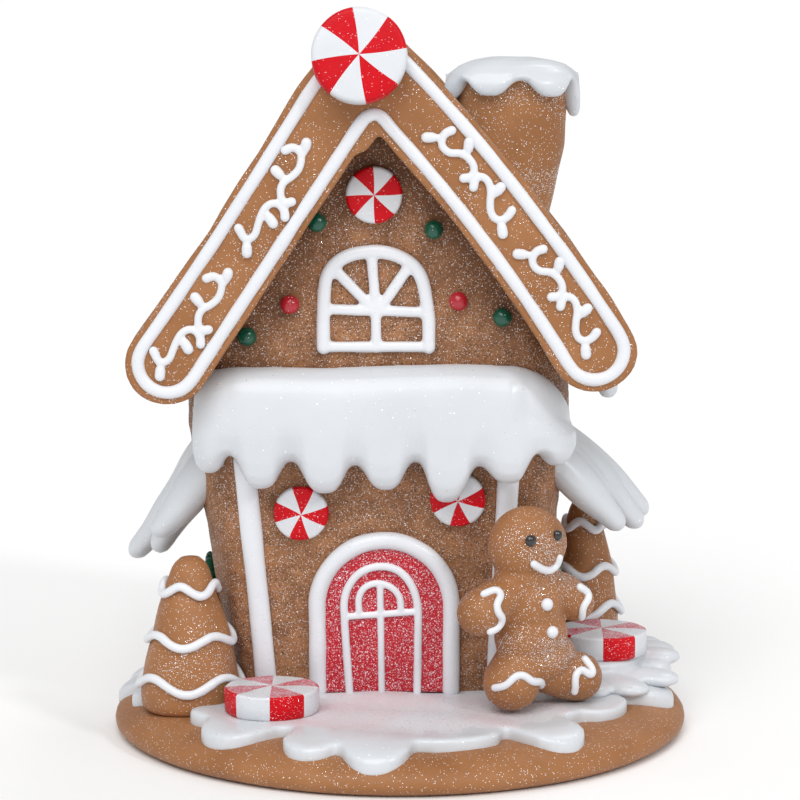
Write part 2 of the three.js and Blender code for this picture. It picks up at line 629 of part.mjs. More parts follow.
function wingPlate(runs) {
  const shape = new THREE.Shape();
  const lobe = WING.length / runs.length / 2;
  shape.moveTo(0, 0);
  shape.lineTo(WING.length, 0);
  for (let i = runs.length - 1; i >= 0; i--) {
    shape.lineTo((2 * i + 2) * lobe, runs[i]);
    shape.absarc((2 * i + 1) * lobe, runs[i], lobe, 0, Math.PI, false);
  }
  shape.closePath();
  const depth = WING.thick - 2 * WING.bevel;
  const bevel = { bevelThickness: WING.bevel, bevelSize: WING.bevel, bevelOffset: -WING.bevel, bevelSegments: 1 };
  return new THREE.ExtrudeGeometry(shape, { depth, curveSegments: 4, ...bevel }).translate(0, 0, WING.bevel);
}

// The plate is drawn as (along the wall, down the slope, up from the slope) and laid against a side wall.
function sideAwning({ side, slope, runs }) {
  const tilt = THREE.MathUtils.degToRad(slope);
  const outward = new THREE.Vector3(side * Math.cos(tilt), 0, -Math.sin(tilt));
  const alongWall = new THREE.Vector3(0, 1, 0);
  const up = new THREE.Vector3().crossVectors(alongWall, outward);
  if (up.z < 0) up.negate();
  const basis = new THREE.Matrix4().makeBasis(alongWall, outward, up);
  const root = wallCentre(WING.rootZ) + side * (wallSize(WING.rootZ).flat + wallSize(WING.rootZ).corner - WING.inset);
  basis.setPosition(root, WING.startY, WING.rootZ);
  const plate = wingPlate(runs).applyMatrix4(basis);
  plate.deleteAttribute("normal");
  plate.deleteAttribute("uv");
  return carved(facingOut(mergeVertices(plate, 1e-4)), wallBlock(CONTACT_GAP));
}

// ---------------------------------------------------------------- chimney

const oval = (count, half, z, squareness = 0.72) => Array.from({ length: count }, (_, i) => {
  const angle = (i / count) * 2 * Math.PI;
  const [c, s] = [Math.cos(angle), Math.sin(angle)];
  const x = Math.sign(c) * Math.abs(c) ** squareness * half[0];
  const y = Math.sign(s) * Math.abs(s) ** squareness * half[1];
  return new THREE.Vector3(CHIMNEY.x + x, CHIMNEY.y + y, z);
});

function snowHeight(x) {
  return legPoint(1, downAtX(1, ROOF.snowTop + CONTACT_GAP, x), ROOF.snowTop + CONTACT_GAP).y;
}

function chimney() {
  const foot = oval(CHIMNEY.points, CHIMNEY.foot, 0);
  for (const point of foot) point.z = snowHeight(point.x);
  const belly = oval(CHIMNEY.points, [15.2, 13.4], 0);
  for (const point of belly) point.z = Math.max(CHIMNEY.flare + 8, snowHeight(point.x) + 4);
  const rings = [foot, belly, oval(CHIMNEY.points, CHIMNEY.mouth, CHIMNEY.top - 4), oval(CHIMNEY.points, CHIMNEY.mouth, CHIMNEY.top)];
  return loft(rings);
}

// A snow cap with a scalloped skirt that hangs outside the chimney's mouth.
function chimneySnow() {
  const count = CHIMNEY_SNOW.columns;
  const ring = (grow, z, drip = 0) => {
    const points = oval(count, [CHIMNEY_SNOW.half[0] + grow, CHIMNEY_SNOW.half[1] + grow], z);
    points.forEach((point, i) => {
      point.z -= drip * Math.abs(Math.sin((i / count) * Math.PI * CHIMNEY_SNOW.lobes)) ** 0.8;
      point.z = Math.max(point.z, snowHeight(point.x) + CONTACT_GAP);
    });
    return points;
  };
  const z = CHIMNEY.top;
  const skirtInner = CHIMNEY.mouth[0] + 1 - CHIMNEY_SNOW.half[0];
  return loft([
    ring(skirtInner - 3, z + CONTACT_GAP), ring(skirtInner, z + CONTACT_GAP), ring(skirtInner + 0.2, z - 2, 5.5),
    ring(-0.4, z - 2.6, CHIMNEY_SNOW.drip * 0.7), ring(0.4, z + 2), ring(-3, z + 6), ring(-10, z + CHIMNEY_SNOW.dome),
  ]);
}

// ---------------------------------------------------------------- sweets and pearls

function candy({ radius, thick }) {
  const profile = [[0, 0], [radius - CANDY.edge, 0], [radius, CANDY.edge], [radius, thick - CANDY.edge],
    [radius - CANDY.edge, thick], [0, thick]];
  const segments = CANDY.facets[radius > CANDY.largeFrom ? 1 : 0];
  return new THREE.LatheGeometry(profile.map(([r, h]) => new THREE.Vector2(r, h)), segments);
}

// A candy's axis is Y in its own frame, with its back at y = 0; turned over so the face looks towards -Y or +Z.
function addCandies() {
  for (const item of CANDIES) {
    if (item.flatOn) {
      place(item.name, candy(item).rotateX(Math.PI / 2), ICING, { at: item.flatOn });
    } else if (item.onWall) {
      const [x, z] = item.onWall;
      place(item.name, candy(item).rotateX(Math.PI), ICING, onFront(x, z));
    } else {
      const centred = candy(item).rotateX(Math.PI).translate(0, item.thick / 2, 0);
      place(item.name, centred, ICING, { at: item.at, turn: [item.tiltX, 0, 0] });
    }
  }
}

function addPearls() {
  for (const { name, x, z } of PEARLS) {
    const ball = new THREE.SphereGeometry(PEARL.radius, PEARL.across, PEARL.down);
    const look = name.includes("red") ? RED_SUGAR : GREEN_SUGAR;
    place(name, ball, look, { at: [x, frontWallY(z) - PEARL.radius - CONTACT_GAP, z] });
  }
}

// ---------------------------------------------------------------- trees

function treeRadiusAt(tree, share) {
  const upper = TREE_OUTLINE.findIndex(([, height]) => height >= share);
  const [low, high] = [TREE_OUTLINE[upper - 1], TREE_OUTLINE[upper]];
  return tree.radius * THREE.MathUtils.mapLinear(share, low[1], high[1], low[0], high[0]);
}

function treeBody(tree) {
  const profile = TREE_OUTLINE.map(([r, h]) => new THREE.Vector2(tree.radius * r, tree.height * h));
  const closedProfile = [new THREE.Vector2(0, 0), ...profile, new THREE.Vector2(0, tree.height)];
  return new THREE.LatheGeometry(closedProfile, TREE.segments).rotateX(Math.PI / 2);
}

function treeWave(tree, share, index) {
  const depth = TREE.waveDepth / tree.height;
  const points = Array.from({ length: TREE.steps }, (_, i) => {
    const angle = (i / TREE.steps) * 2 * Math.PI;
    const level = share + depth * Math.sin(angle * TREE.waveCount + index * 1.7);
    const radius = treeRadiusAt(tree, level) + TREE.waveRadius + 2 * CONTACT_GAP;
    return new THREE.Vector3(radius * Math.cos(angle), radius * Math.sin(angle), level * tree.height);
  });
  return piped(points, TREE.waveRadius, 4, TREE.steps, true).translate(tree.x, tree.y, tree.foot);
}

function addTrees() {
  for (const tree of TREES) {
    place(tree.name, treeBody(tree), GINGERBREAD, { at: [tree.x, tree.y, tree.foot] });
    TREE.waves.forEach((share, i) => {
      place(`${tree.name}_icing_${["low", "middle", "high"][i]}`, treeWave(tree, share, i), ICING);
    });
  }
}

// ---------------------------------------------------------------- gingerbread man

const ball = (radii, centre, grow) => {
  const sphere = new THREE.SphereGeometry(1, 10, 7);
  sphere.scale(...radii.map((radius) => radius + grow));
  return sphere.translate(...centre);
};

function limb({ from, to, radius }, side, grow) {
  const [a, b] = [new THREE.Vector3(side * from[0], 0, from[1]), new THREE.Vector3(side * to[0], 0, to[1])];
  const direction = b.clone().sub(a);
  const capsule = new THREE.CapsuleGeometry(radius + grow, direction.length(), 2, 9);
  const turn = new THREE.Quaternion().setFromUnitVectors(new THREE.Vector3(0, 1, 0), direction.clone().normalize());
  return capsule.applyQuaternion(turn).translate(...a.lerp(b, 0.5).toArray());
}

function manBody(grow = 0) {
  const pieces = [
    ball(MAN.head.radii, [0, 0, MAN.head.z], grow), ball(MAN.torso.radii, [0, 0, MAN.torso.z], grow),
    limb(MAN.arm, -1, grow), limb(MAN.arm, 1, grow), limb(MAN.leg, -1, grow), limb(MAN.leg, 1, grow),
  ];
  const floor = new THREE.BoxGeometry(80, 80, 20).translate(0, 0, -10 + CONTACT_GAP);
  return carved(joined(pieces), floor);
}

// Wavy icing across a limb's front: centre of the line, its half length, and its slant.
function limbIcing(x, z, half, slant, front) {
  const points = Array.from({ length: 5 }, (_, i) => {
    const share = -1 + i / 2;
    const wave = (i % 2 === 0 ? 1 : -1) * 1.1;
    const across = share * half;
    const y = -front * Math.sqrt(Math.max(0.08, 1 - (share * 0.93) ** 2)) - 1;
    return new THREE.Vector3(
      x + across * Math.cos(slant) - wave * Math.sin(slant), y, z + across * Math.sin(slant) + wave * Math.cos(slant),
    );
  });
  return carved(piped(points, MAN.icingRadius, MAN.sides, 6), manBody(CONTACT_GAP));
}

function onHead(angle, up, lift) {
  const [rx, ry, rz] = MAN.head.radii;
  const level = Math.sqrt(1 - (up / rz) ** 2);
  return [Math.sin(angle) * (rx * level + lift), -Math.cos(angle) * (ry * level + lift), MAN.head.z + up];
}

function addMan() {
  const man = new THREE.Group();
  man.position.set(MAN.x, MAN.y, GROUND_TOP);
  man.rotation.set(0, 0, MAN.turn);
  const figure = new THREE.Group();
  figure.rotation.set(0, MAN.lean, 0);
  figure.position.set(0, 0, 20 * Math.abs(MAN.lean));
  man.add(figure);
  house.add(man);
  place("gingerbread_man", manBody(), GINGERBREAD, { parent: figure });
  for (const [side, word] of [[-1, "left"], [1, "right"]]) {
    const eye = new THREE.SphereGeometry(MAN.eyeRadius, 7, 5);
    place(`man_eye_${word}`, eye, BLACK_BEAD, {
      parent: figure, at: onHead(side * MAN.eyeAngle, MAN.eyeUp, MAN.eyeRadius + CONTACT_GAP),
    });
    place(`man_cuff_${word}`, limbIcing(side * 14.2, 33, 5.6, side * 1.25, 5.8), ICING, { parent: figure });
    place(`man_ankle_${word}`, limbIcing(side * 9.4, 12.5, 7.8, side * -0.12, 8.4), ICING, { parent: figure });
  }
  const smile = Array.from({ length: 7 }, (_, i) => {
    const angle = -0.44 + (0.88 * i) / 6;
    return new THREE.Vector3(...onHead(angle, -7.6 + 14 * angle ** 2, 1.2));
  });
  place("man_smile", carved(piped(smile, 1.1, MAN.sides, 6), manBody(CONTACT_GAP)), ICING, { parent: figure });
  MAN.buttons.forEach((z, i) => {
    const level = Math.sqrt(1 - ((z - MAN.torso.z) / MAN.torso.radii[2]) ** 2);
    const y = -MAN.torso.radii[1] * level - MAN.buttonRadius - CONTACT_GAP;
    place(`man_button_${["upper", "lower"][i]}`, new THREE.SphereGeometry(MAN.buttonRadius, 7, 5), ICING, {
      parent: figure, at: [0, y, z],
    });
  });
}

// ---------------------------------------------------------------- assembly

function addGround() {
  place("base", base(), GINGERBREAD);
  place("ground_icing", groundIcing(), ICING);
  place("snow_mound", mound(), ICING);
}

function addRoof() {
  for (const [side, word] of [[-1, "left"], [1, "right"]]) {
    place(`roof_${word}`, roofSlab(side), GINGERBREAD);
    place(`roof_snow_${word}`, roofSnow(side), ICING);
    const { places, strokes } = VINES[word];
    places.forEach((down, i) => {
      place(`vine_${word}_${["upper", "lower"][i]}`, vine(side, down, strokes), ICING, {
        at: [0, ROOF.frontY - VINE.radius - CONTACT_GAP, 0],
      });
    });
  }
  place("gable_band_front", gableBand(), GINGERBREAD, { at: [0, bandBackY, 0] });
  place("gable_band_back", gableBand(), GINGERBREAD, { at: [0, ROOF.backY, 0] });
  place("gable_piping_front", pipingLoop(), ICING, { at: [0, ROOF.frontY - PIPING.radius - CONTACT_GAP, 0] });
}

function addFrontTrim() {
  const doorAt = (extra) => onFront(DOOR.x, DOOR.sill, CONTACT_GAP + extra);
  place("door_frame", doorFrame(), ICING, doorAt(0));
  place("door_panel", doorPanel(), RED_SUGAR, doorAt(0));
  place("door_icing", doorIcing(), ICING, doorAt(DOOR.panelThick + CONTACT_GAP));
  place("attic_window", atticWindow(), ICING, onFront(WINDOW.x, WINDOW.sill));
  for (const [side, word] of [[-1, "left"], [1, "right"]]) {
    place(`corner_strip_${word}`, cornerStrip(side), ICING, onFront(wallCentre(50), STRIP.foot));
  }
}

function addWreaths() {
  for (const [side, word] of [[-1, "left"], [1, "right"]]) {
    const sideX = (z) => wallCentre(z) + side * (wallSize(z).flat + wallSize(z).corner);
    const tilt = Math.atan((sideX(WREATH.z + 10) - sideX(WREATH.z - 10)) / 20);
    const ring = new THREE.TorusGeometry(WREATH.radius, WREATH.tube, WREATH.sides, WREATH.around);
    place(`wreath_${word}`, ring.rotateY(Math.PI / 2), GREEN_SUGAR, {
      at: [sideX(WREATH.z) + side * (WREATH.tube + 1.2), WREATH.y, WREATH.z], turn: [0, tilt, 0],
    });
  }
}

addGround();
place("house_body", houseBody(), WALL_BREAD);
addRoof();
place("chimney", chimney(), GINGERBREAD);
place("chimney_snow", chimneySnow(), ICING);
addCandies();
addPearls();
addFrontTrim();
place("awning_front", faceAwning(FRONT_DRIPS, false), ICING);
place("awning_back", faceAwning(BACK_DRIPS, true), ICING);
for (const wing of WINGS) place(wing.name, sideAwning(wing), ICING);
addTrees();
addMan();
addWreaths();

export default house;
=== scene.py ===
"""Gingerbread house decoration on its round gingerbread base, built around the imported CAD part.

Every length is in metres, +Z is up and the door faces -Y.
"""

import math

import bmesh
import bpy
import numpy as np
from bpy.props import (
    FloatProperty,
    FloatVectorProperty,
    IntProperty,
    PointerProperty,
)
from mathutils import Matrix, Vector
from mathutils.bvhtree import BVHTree


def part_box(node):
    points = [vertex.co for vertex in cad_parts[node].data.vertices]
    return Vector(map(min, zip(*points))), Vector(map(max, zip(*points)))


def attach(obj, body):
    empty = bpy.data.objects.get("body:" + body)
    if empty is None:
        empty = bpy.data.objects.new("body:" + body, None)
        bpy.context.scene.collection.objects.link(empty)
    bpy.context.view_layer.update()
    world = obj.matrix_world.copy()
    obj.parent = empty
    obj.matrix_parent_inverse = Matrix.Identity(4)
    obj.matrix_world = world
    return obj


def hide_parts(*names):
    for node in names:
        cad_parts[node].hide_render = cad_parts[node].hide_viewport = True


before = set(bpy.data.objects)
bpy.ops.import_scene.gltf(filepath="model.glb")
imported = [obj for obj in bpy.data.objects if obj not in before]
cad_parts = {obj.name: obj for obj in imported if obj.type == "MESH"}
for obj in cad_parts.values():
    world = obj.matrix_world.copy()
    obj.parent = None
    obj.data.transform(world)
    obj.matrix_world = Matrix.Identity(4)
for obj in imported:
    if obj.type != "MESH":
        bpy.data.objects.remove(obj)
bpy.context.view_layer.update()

bl_info = {
    "name": "Gingerbread House",
    "version": (1, 0, 0),
    "blender": (4, 5, 0),
    "location": "3D View > Sidebar > Gingerbread",
    "description": "Makes a gingerbread house with icing snow, sweets, trees and a gingerbread man",
    "category": "Add Mesh",
}

BODY = "root"
MM = 0.001


def node_box(node):
    """Lowest and highest corner of a CAD node as arrays."""
    low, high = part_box(node)
    return np.array(low), np.array(high)


def node_centre(node):
    low, high = node_box(node)
    return (low + high) / 2


# ---------------------------------------------------------------- settings


def length(name, description, default):
    return FloatProperty(
        name=name, description=description, default=default, min=0.0, precision=4, unit="LENGTH"
    )


def share(name, description, default, high=1.0):
    return FloatProperty(name=name, description=description, default=default, min=0.0, max=high)


def colour(name, description, default):
    return FloatVectorProperty(
        name=name, description=description, default=default, min=0.0, max=1.0, size=3, subtype="COLOR"
    )


class DoughSettings(bpy.types.PropertyGroup):
    dough: colour("Dough", "Colour of the smooth gingerbread dough", (0.372, 0.160, 0.058))
    dough_dark: colour("Dough shade", "Colour of the darker patches in the dough", (0.292, 0.117, 0.037))
    wall: colour("Wall dough", "Colour of the grainy dough of the walls", (0.385, 0.175, 0.075))
    # The wall's dark specks are painted shade: they stand in for the shaded pits of the grainy dough.
    wall_painted_shade: colour("Wall shade", "Colour of the dark grains in the walls", (0.105, 0.050, 0.028))
    unevenness: length("Unevenness", "How far the dough swells and sinks by hand", 0.35 * MM)


class IcingSettings(bpy.types.PropertyGroup):
    snow: colour("Snow", "Colour of the thick icing snow", (0.668, 0.697, 0.731))
    piping: colour("Piping", "Colour of the piped icing lines", (0.790, 0.810, 0.850))
    pink: colour("Frosted snow", "Colour of the sugared snow in front of the door", (0.700, 0.610, 0.640))
    band_line: length("Band line", "Half the width of the line round the gable band", 2.0 * MM)
    vine_line: length("Vine line", "Half the width of the piped vines", 1.25 * MM)
    window_line: length("Window line", "Half the width of the attic window's bars", 1.75 * MM)
    door_line: length("Door line", "Half the width of the lines on the door", 1.15 * MM)


class SweetSettings(bpy.types.PropertyGroup):
    red: colour("Sweet red", "Colour of the red wedges", (0.640, 0.001, 0.008))
    white: colour("Sweet white", "Colour of the white wedges", (0.715, 0.738, 0.775))
    door: colour("Door red", "Colour of the sugared door", (0.540, 0.014, 0.028))
    pearl_red: colour("Pearl red", "Colour of the red pearls", (0.520, 0.016, 0.032))
    pearl_green: colour("Pearl green", "Colour of the green pearls and wreaths", (0.001, 0.105, 0.058))
    bead: colour("Bead", "Colour of the eyes", (0.012, 0.011, 0.013))
    wedges: IntProperty(name="Wedges", description="Number of wedges on a sweet", default=8, min=2)


class GlitterSettings(bpy.types.PropertyGroup):
    flake: length("Flake", "Half the width of a glitter flake", 0.19 * MM)
    clear: colour("Clear glitter", "Colour of the silvery flakes", (0.930, 0.930, 0.950))
    # Painted shade: dark flakes stand in for glitter that reflects no light.
    dark: colour("Painted shade glitter", "Colour of the dark flakes in the walls", (0.060, 0.035, 0.025))
    wall_flakes: IntProperty(
        name="Wall flakes", description="Silvery flakes on the walls", default=21000, min=0
    )
    painted_shade_flakes: IntProperty(
        name="Dark flakes", description="Dark flakes on the walls", default=13000, min=0
    )
    dough_flakes: IntProperty(
        name="Dough flakes", description="Flakes on the smooth dough", default=30000, min=0
    )
    snow_flakes: IntProperty(
        name="Snow flakes", description="Flakes on the snow and icing", default=14000, min=0
    )
    sugar_grains: IntProperty(
        name="Sugar grains", description="Grains on the door and the ground sweets", default=16000, min=0
    )
    seed: IntProperty(name="Seed", description="Start of the scattering", default=11, min=0)


class StageSettings(bpy.types.PropertyGroup):
    distance: length("Distance", "How far the camera stands in front of the house's middle", 0.900)
    height: length("Height", "How high the camera stands", 0.237)
    pitch: FloatProperty(
        name="Pitch", description="How far the camera looks down", default=math.radians(8.274),
        subtype="ANGLE"
    )
    lens: FloatProperty(name="Lens", description="Focal length in millimetres", default=126.776, min=1.0)
    floor: colour("Floor", "Colour of the floor", (0.97, 0.97, 0.97))
    sky: share("Sky light", "Strength of the light from all round", 0.50, 5.0)
    key: FloatProperty(
        name="Key light", description="Strength of the large soft lamp", default=1.64, min=0.0
    )
    glint: FloatProperty(
        name="Glint", description="Strength of the small lamp that makes the glitter shine", default=0.6,
        min=0.0
    )
    back: FloatProperty(
        name="Back light", description="Strength of the lamp behind the house", default=0.3, min=0.0
    )


class HouseSettings(bpy.types.PropertyGroup):
    dough: PointerProperty(type=DoughSettings)
    icing: PointerProperty(type=IcingSettings)
    sweets: PointerProperty(type=SweetSettings)
    glitter: PointerProperty(type=GlitterSettings)
    stage: PointerProperty(type=StageSettings)


# ---------------------------------------------------------------- lumps: closed clay as (vertices, faces)


def unevenness(points, size, seed):
    """A smooth value of about -1 to 1 at each point, made of a few crossing waves."""
    rng = np.random.default_rng(seed)
    total = np.zeros(len(points))
    waves = 7
    for _ in range(waves):
        direction = rng.normal(size=3)
        direction /= np.linalg.norm(direction)
        turns = 2 * math.pi / (size * rng.uniform(0.7, 1.6))
        total += np.sin(points @ direction * turns + rng.uniform(0, 2 * math.pi))
    return total / (waves / 2)


def loft(rings, closed=False):
    """Skins rings that all have the same number of points, and caps the end rings unless the row closes."""
    rings = np.asarray(rings, float)
    rows, count = rings.shape[:2]
    faces = []
    for row in range(rows if closed else rows - 1):
        here, there = row * count, ((row + 1) % rows) * count
        for i in range(count):
            j = (i + 1) % count
            faces.append((here + i, here + j, there + j, there + i))
    if not closed:
        faces.append(tuple(range(count))[::-1])
        faces.append(tuple(range((rows - 1) * count, rows * count)))
    return rings.reshape(-1, 3), faces


def ball(centre, radii, turn=None, rows=14, columns=22):
    radii = np.broadcast_to(np.asarray(radii, float), 3)
    heights = np.linspace(0, math.pi, rows + 1)[1:-1]
    around = np.arange(columns) * 2 * math.pi / columns
    points = [(0, 0, -1)]
    points += [
        (math.sin(h) * math.cos(a), math.sin(h) * math.sin(a), -math.cos(h)) for h in heights for a in around
    ]
    points.append((0, 0, 1))
    points = np.array(points) * radii
    if turn is not None:
        points = points @ np.array(turn.to_3x3()).T
    last = len(points) - 1
    faces = [(0, 1 + (i + 1) % columns, 1 + i) for i in range(columns)]
    for row in range(rows - 2):
        start = 1 + row * columns
        for i in range(columns):
            j = (i + 1) % columns
            faces.append((start + i, start + j, start + columns + j, start + columns + i))
    start = 1 + (rows - 2) * columns
    faces += [(start + i, start + (i + 1) % columns, last) for i in range(columns)]
    return points + np.asarray(centre, float), faces


def spline(points, spacing, closed=False):
    """A smooth line through the points, cut into steps of about one spacing."""
    points = np.asarray(points, float)
    count = len(points)
    spans = count if closed else count - 1
    fine = []
    for i in range(spans):
        if closed:
            a, b, c, d = (points[(i + k) % count] for k in (-1, 0, 1, 2))
        else:
            b, c = points[i], points[i + 1]
            a = points[i - 1] if i > 0 else 2 * b - c
            d = points[i + 2] if i + 2 < count else 2 * c - b
        t = np.linspace(0, 1, 17)[:-1, None]
        fine.append(
            0.5 * (2 * b + (c - a) * t + (2 * a - 5 * b + 4 * c - d) * t**2 + (3 * b - a - 3 * c + d) * t**3)
        )
    fine = np.vstack([*fine, points[:1] if closed else points[-1:]])
    along = np.concatenate([[0], np.cumsum(np.linalg.norm(np.diff(fine, axis=0), axis=1))])
    steps = max(2, round(along[-1] / spacing))
    wanted = np.linspace(0, along[-1], steps + 1)
    line = np.column_stack([np.interp(wanted, along, fine[:, k]) for k in range(fine.shape[1])])
    return line[:-1] if closed else line


def rod(points, radius, up=(0, -1, 0), flat=1.0, sides=12, closed=False):
    """A round line of clay or icing along points, with domed ends. Flat squashes it along up."""
    points = np.asarray(points, float)
    radius = np.broadcast_to(np.asarray(radius, float), len(points))
    if closed:
        tangent = np.roll(points, -1, axis=0) - np.roll(points, 1, axis=0)
    else:
        tangent = np.gradient(points, axis=0)
    tangent /= np.linalg.norm(tangent, axis=1)[:, None]
    up = np.broadcast_to(np.asarray(up, float), points.shape)
    across = np.cross(tangent, up)
    across /= np.linalg.norm(across, axis=1)[:, None]
    rise = np.cross(across, tangent)
    around = (np.arange(sides) + 0.5) * 2 * math.pi / sides

    def ring(centre, size, i):
        return centre + size * (
            np.cos(around)[:, None] * across[i] + np.sin(around)[:, None] * rise[i] * flat
        )

    rings = [ring(points[i], radius[i], i) for i in range(len(points))]
    if not closed:
        lifts = np.radians([28, 56, 80])
        head = [
            ring(points[0] - tangent[0] * radius[0] * math.sin(a), radius[0] * math.cos(a), 0) for a in lifts
        ]
        tail = [
            ring(points[-1] + tangent[-1] * radius[-1] * math.sin(a), radius[-1] * math.cos(a), -1)
            for a in lifts
        ]
        rings = head[::-1] + rings + tail
    return loft(rings, closed)


def prism(outline, low, high, axis):
    """A flat outline drawn out along one axis: 1 for an outline in (x, z), 2 for one in (x, y)."""
    outline = np.asarray(outline, float)
    rings = [np.insert(outline, axis, level, axis=1) for level in (low, high)]
    if axis == 1:
        rings.reverse()
    return loft(rings)


def lathe(profile, columns=64):
    """Turns a profile of (radius, height) round the Z axis. Its first and last radius are 0."""
    profile = np.asarray(profile, float)
    around = np.arange(columns) * 2 * math.pi / columns
    points = [(0, 0, profile[0, 1])]
    points += [(r * math.cos(a), r * math.sin(a), z) for r, z in profile[1:-1] for a in around]
    points.append((0, 0, profile[-1, 1]))
    rows = len(profile) - 2
    last = len(points) - 1
    faces = [(0, 1 + (i + 1) % columns, 1 + i) for i in range(columns)]
    for row in range(rows - 1):
        start = 1 + row * columns
        for i in range(columns):
            j = (i + 1) % columns
            faces.append((start + i, start + j, start + columns + j, start + columns + i))
    start = 1 + (rows - 1) * columns
    faces += [(start + i, start + (i + 1) % columns, last) for i in range(columns)]
    return np.array(points), faces


def moved(lump, matrix):
    points, faces = lump
    turn = np.array(matrix)
    return points @ turn[:3, :3].T + turn[:3, 3], faces


def together(lumps):
    vertices, faces, start = [], [], 0
    for points, skin in lumps:
        vertices.append(points)
        faces += [tuple(start + i for i in face) for face in skin]
        start += len(points)
    return np.vstack(vertices), faces


# ---------------------------------------------------------------- pieces


def new_piece(name, lump):
    points, faces = lump
    mesh = bpy.data.meshes.new(name)
    mesh.from_pydata(points.tolist(), [], faces)
    mesh.validate()
    skin = bmesh.new()
    skin.from_mesh(mesh)
    bmesh.ops.recalc_face_normals(skin, faces=skin.faces)
    skin.to_mesh(mesh)
    skin.free()
    piece = bpy.data.objects.new(name, mesh)
    bpy.context.scene.collection.objects.link(piece)
    return piece


def settle(piece):
    """Applies the piece's modifiers to its mesh."""
    graph = bpy.context.evaluated_depsgraph_get()
    finished = bpy.data.meshes.new_from_object(piece.evaluated_get(graph))
    rough = piece.data
    piece.modifiers.clear()
    piece.data = finished
    bpy.data.meshes.remove(rough)
    finished.name = piece.name
    return piece


def points_of(piece):
    values = np.empty(len(piece.data.vertices) * 3, np.float32)
    piece.data.vertices.foreach_get("co", values)
    return values.reshape(-1, 3).astype(float)


def normals_of(piece):
    values = np.empty(len(piece.data.vertices) * 3, np.float32)
    piece.data.vertices.foreach_get("normal", values)
    return values.reshape(-1, 3).astype(float)


def set_points(piece, points):
    piece.data.vertices.foreach_set("co", points.astype(np.float32).ravel())
    piece.data.update()


def swell(piece, amount, size=None, seed=0):
    """Moves the skin out by amount, or up and down by it in swellings of one size."""
    points = points_of(piece)
    out = amount * (np.ones(len(points)) if size is None else unevenness(points, size, seed))
    set_points(piece, points + normals_of(piece) * out[:, None])
    return piece


def knead(name, lumps, cell, rounds, keep=1.0):
    """Presses lumps into one skin, smooths it, and thins its faces to the share that is kept."""
    piece = new_piece(name, together(lumps))
    skin = piece.modifiers.new("Skin", "REMESH")
    skin.mode = "VOXEL"
    skin.voxel_size = cell
    smooth = piece.modifiers.new("Smooth", "SMOOTH")
    smooth.factor = 0.5
    smooth.iterations = rounds
    if keep < 1:
        piece.modifiers.new("Thin", "DECIMATE").ratio = keep
    return settle(piece)


def finish_piece(piece, materials, slot, *nodes):
    """Gives a piece its materials and its body, and hides the CAD nodes that it stands for. The slot is not
    used.
    """
    for material in materials if isinstance(materials, (list, tuple)) else [materials]:
        piece.data.materials.append(material)
    piece.data.shade_smooth()
    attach(piece, BODY)
    if nodes:
        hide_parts(*nodes)
    return piece


def surface_of(piece):
    points = [Vector(p) for p in points_of(piece)]
    return BVHTree.FromPolygons(points, [tuple(face.vertices) for face in piece.data.polygons])


def made(name):
    """A piece that an earlier operator made."""
    piece = bpy.data.objects.get(name)
    if piece is None:
        raise RuntimeError(f"make the piece {name} first")
    return piece


# ---------------------------------------------------------------- shape of the house

base_high = node_box("base")[1]
BASE_RADIUS = base_high[0]
BASE_TOP = base_high[2]
BASE_FLAT = BASE_RADIUS - 15 * MM
BASE_WAIST = 4 * MM
SNOW_TOP = node_box("ground_icing")[1][2]
band_low, band_high = node_box("gable_band_front")
back_high = node_box("gable_band_back")[1]
BAND_HALF = 13 * MM
BAND_CREST = 0.98 * BAND_HALF
BAND_LINE = 9.0 * MM
INNER_PEAK = (3.6 * MM, 1.6 * MM)
CROWN_DROP = 2.6 * MM
# How much narrower than half its width each leg of the band is outside, at places from ridge to eave.
BAND_PLACES = [0, 0.15, 0.4, 0.65, 0.85, 1]
BAND_NARROWER = {-1: [1.6, 0, 0.9, 1.4, 0.8, 0], 1: [2.6, 2.0, 1.6, 1.4, 0.5, 0]}
RIDGE = np.array([-10 * MM, band_high[2] - BAND_CREST])
LEFT_EAVE = np.array([band_low[0] + BAND_HALF, band_low[2] + BAND_HALF])
RIGHT_EAVE = np.array([band_high[0] - BAND_HALF, band_low[2] + BAND_HALF + 4 * MM])
RIGHT_BOW = np.array([29.3 * MM, 176.8 * MM])

WALL_LEVELS = np.array([SNOW_TOP, 36 * MM, 70 * MM, 100 * MM])
WALL_FLAT = np.array([41.0, 42.2, 44.5, 46.5]) * MM
WALL_CORNER = np.array([7.4, 10.0, 12.4, 14.4]) * MM
CORNER_DEPTH = 24 * MM
FACE_SHARE = 0.7
# The front and the back wall: where they stand on the snow, and how far they lean outwards for each
# metre of height up to the top of the lean.
FRONT_FOOT = -20 * MM
FRONT_LEAN = 0.105
BACK_FOOT = 44 * MM
BACK_LEAN = 0.09
LEAN_TOP = 100 * MM
GABLE_FOOT = 118 * MM


def base_top(radius):
    """Height of the base's upper side at a distance from its middle."""
    over = np.clip((radius - BASE_FLAT) / (BASE_RADIUS - BASE_FLAT), 0, 1)
    return BASE_WAIST + (BASE_TOP - BASE_WAIST) * np.sqrt(1 - over**2)


def wall_middle(z):
    return -5 * MM - 0.02 * (z - SNOW_TOP)


def front_y(z):
    return FRONT_FOOT - FRONT_LEAN * (np.minimum(z, LEAN_TOP) - SNOW_TOP)


def back_y(z):
    return BACK_FOOT + BACK_LEAN * (np.minimum(z, LEAN_TOP) - SNOW_TOP)


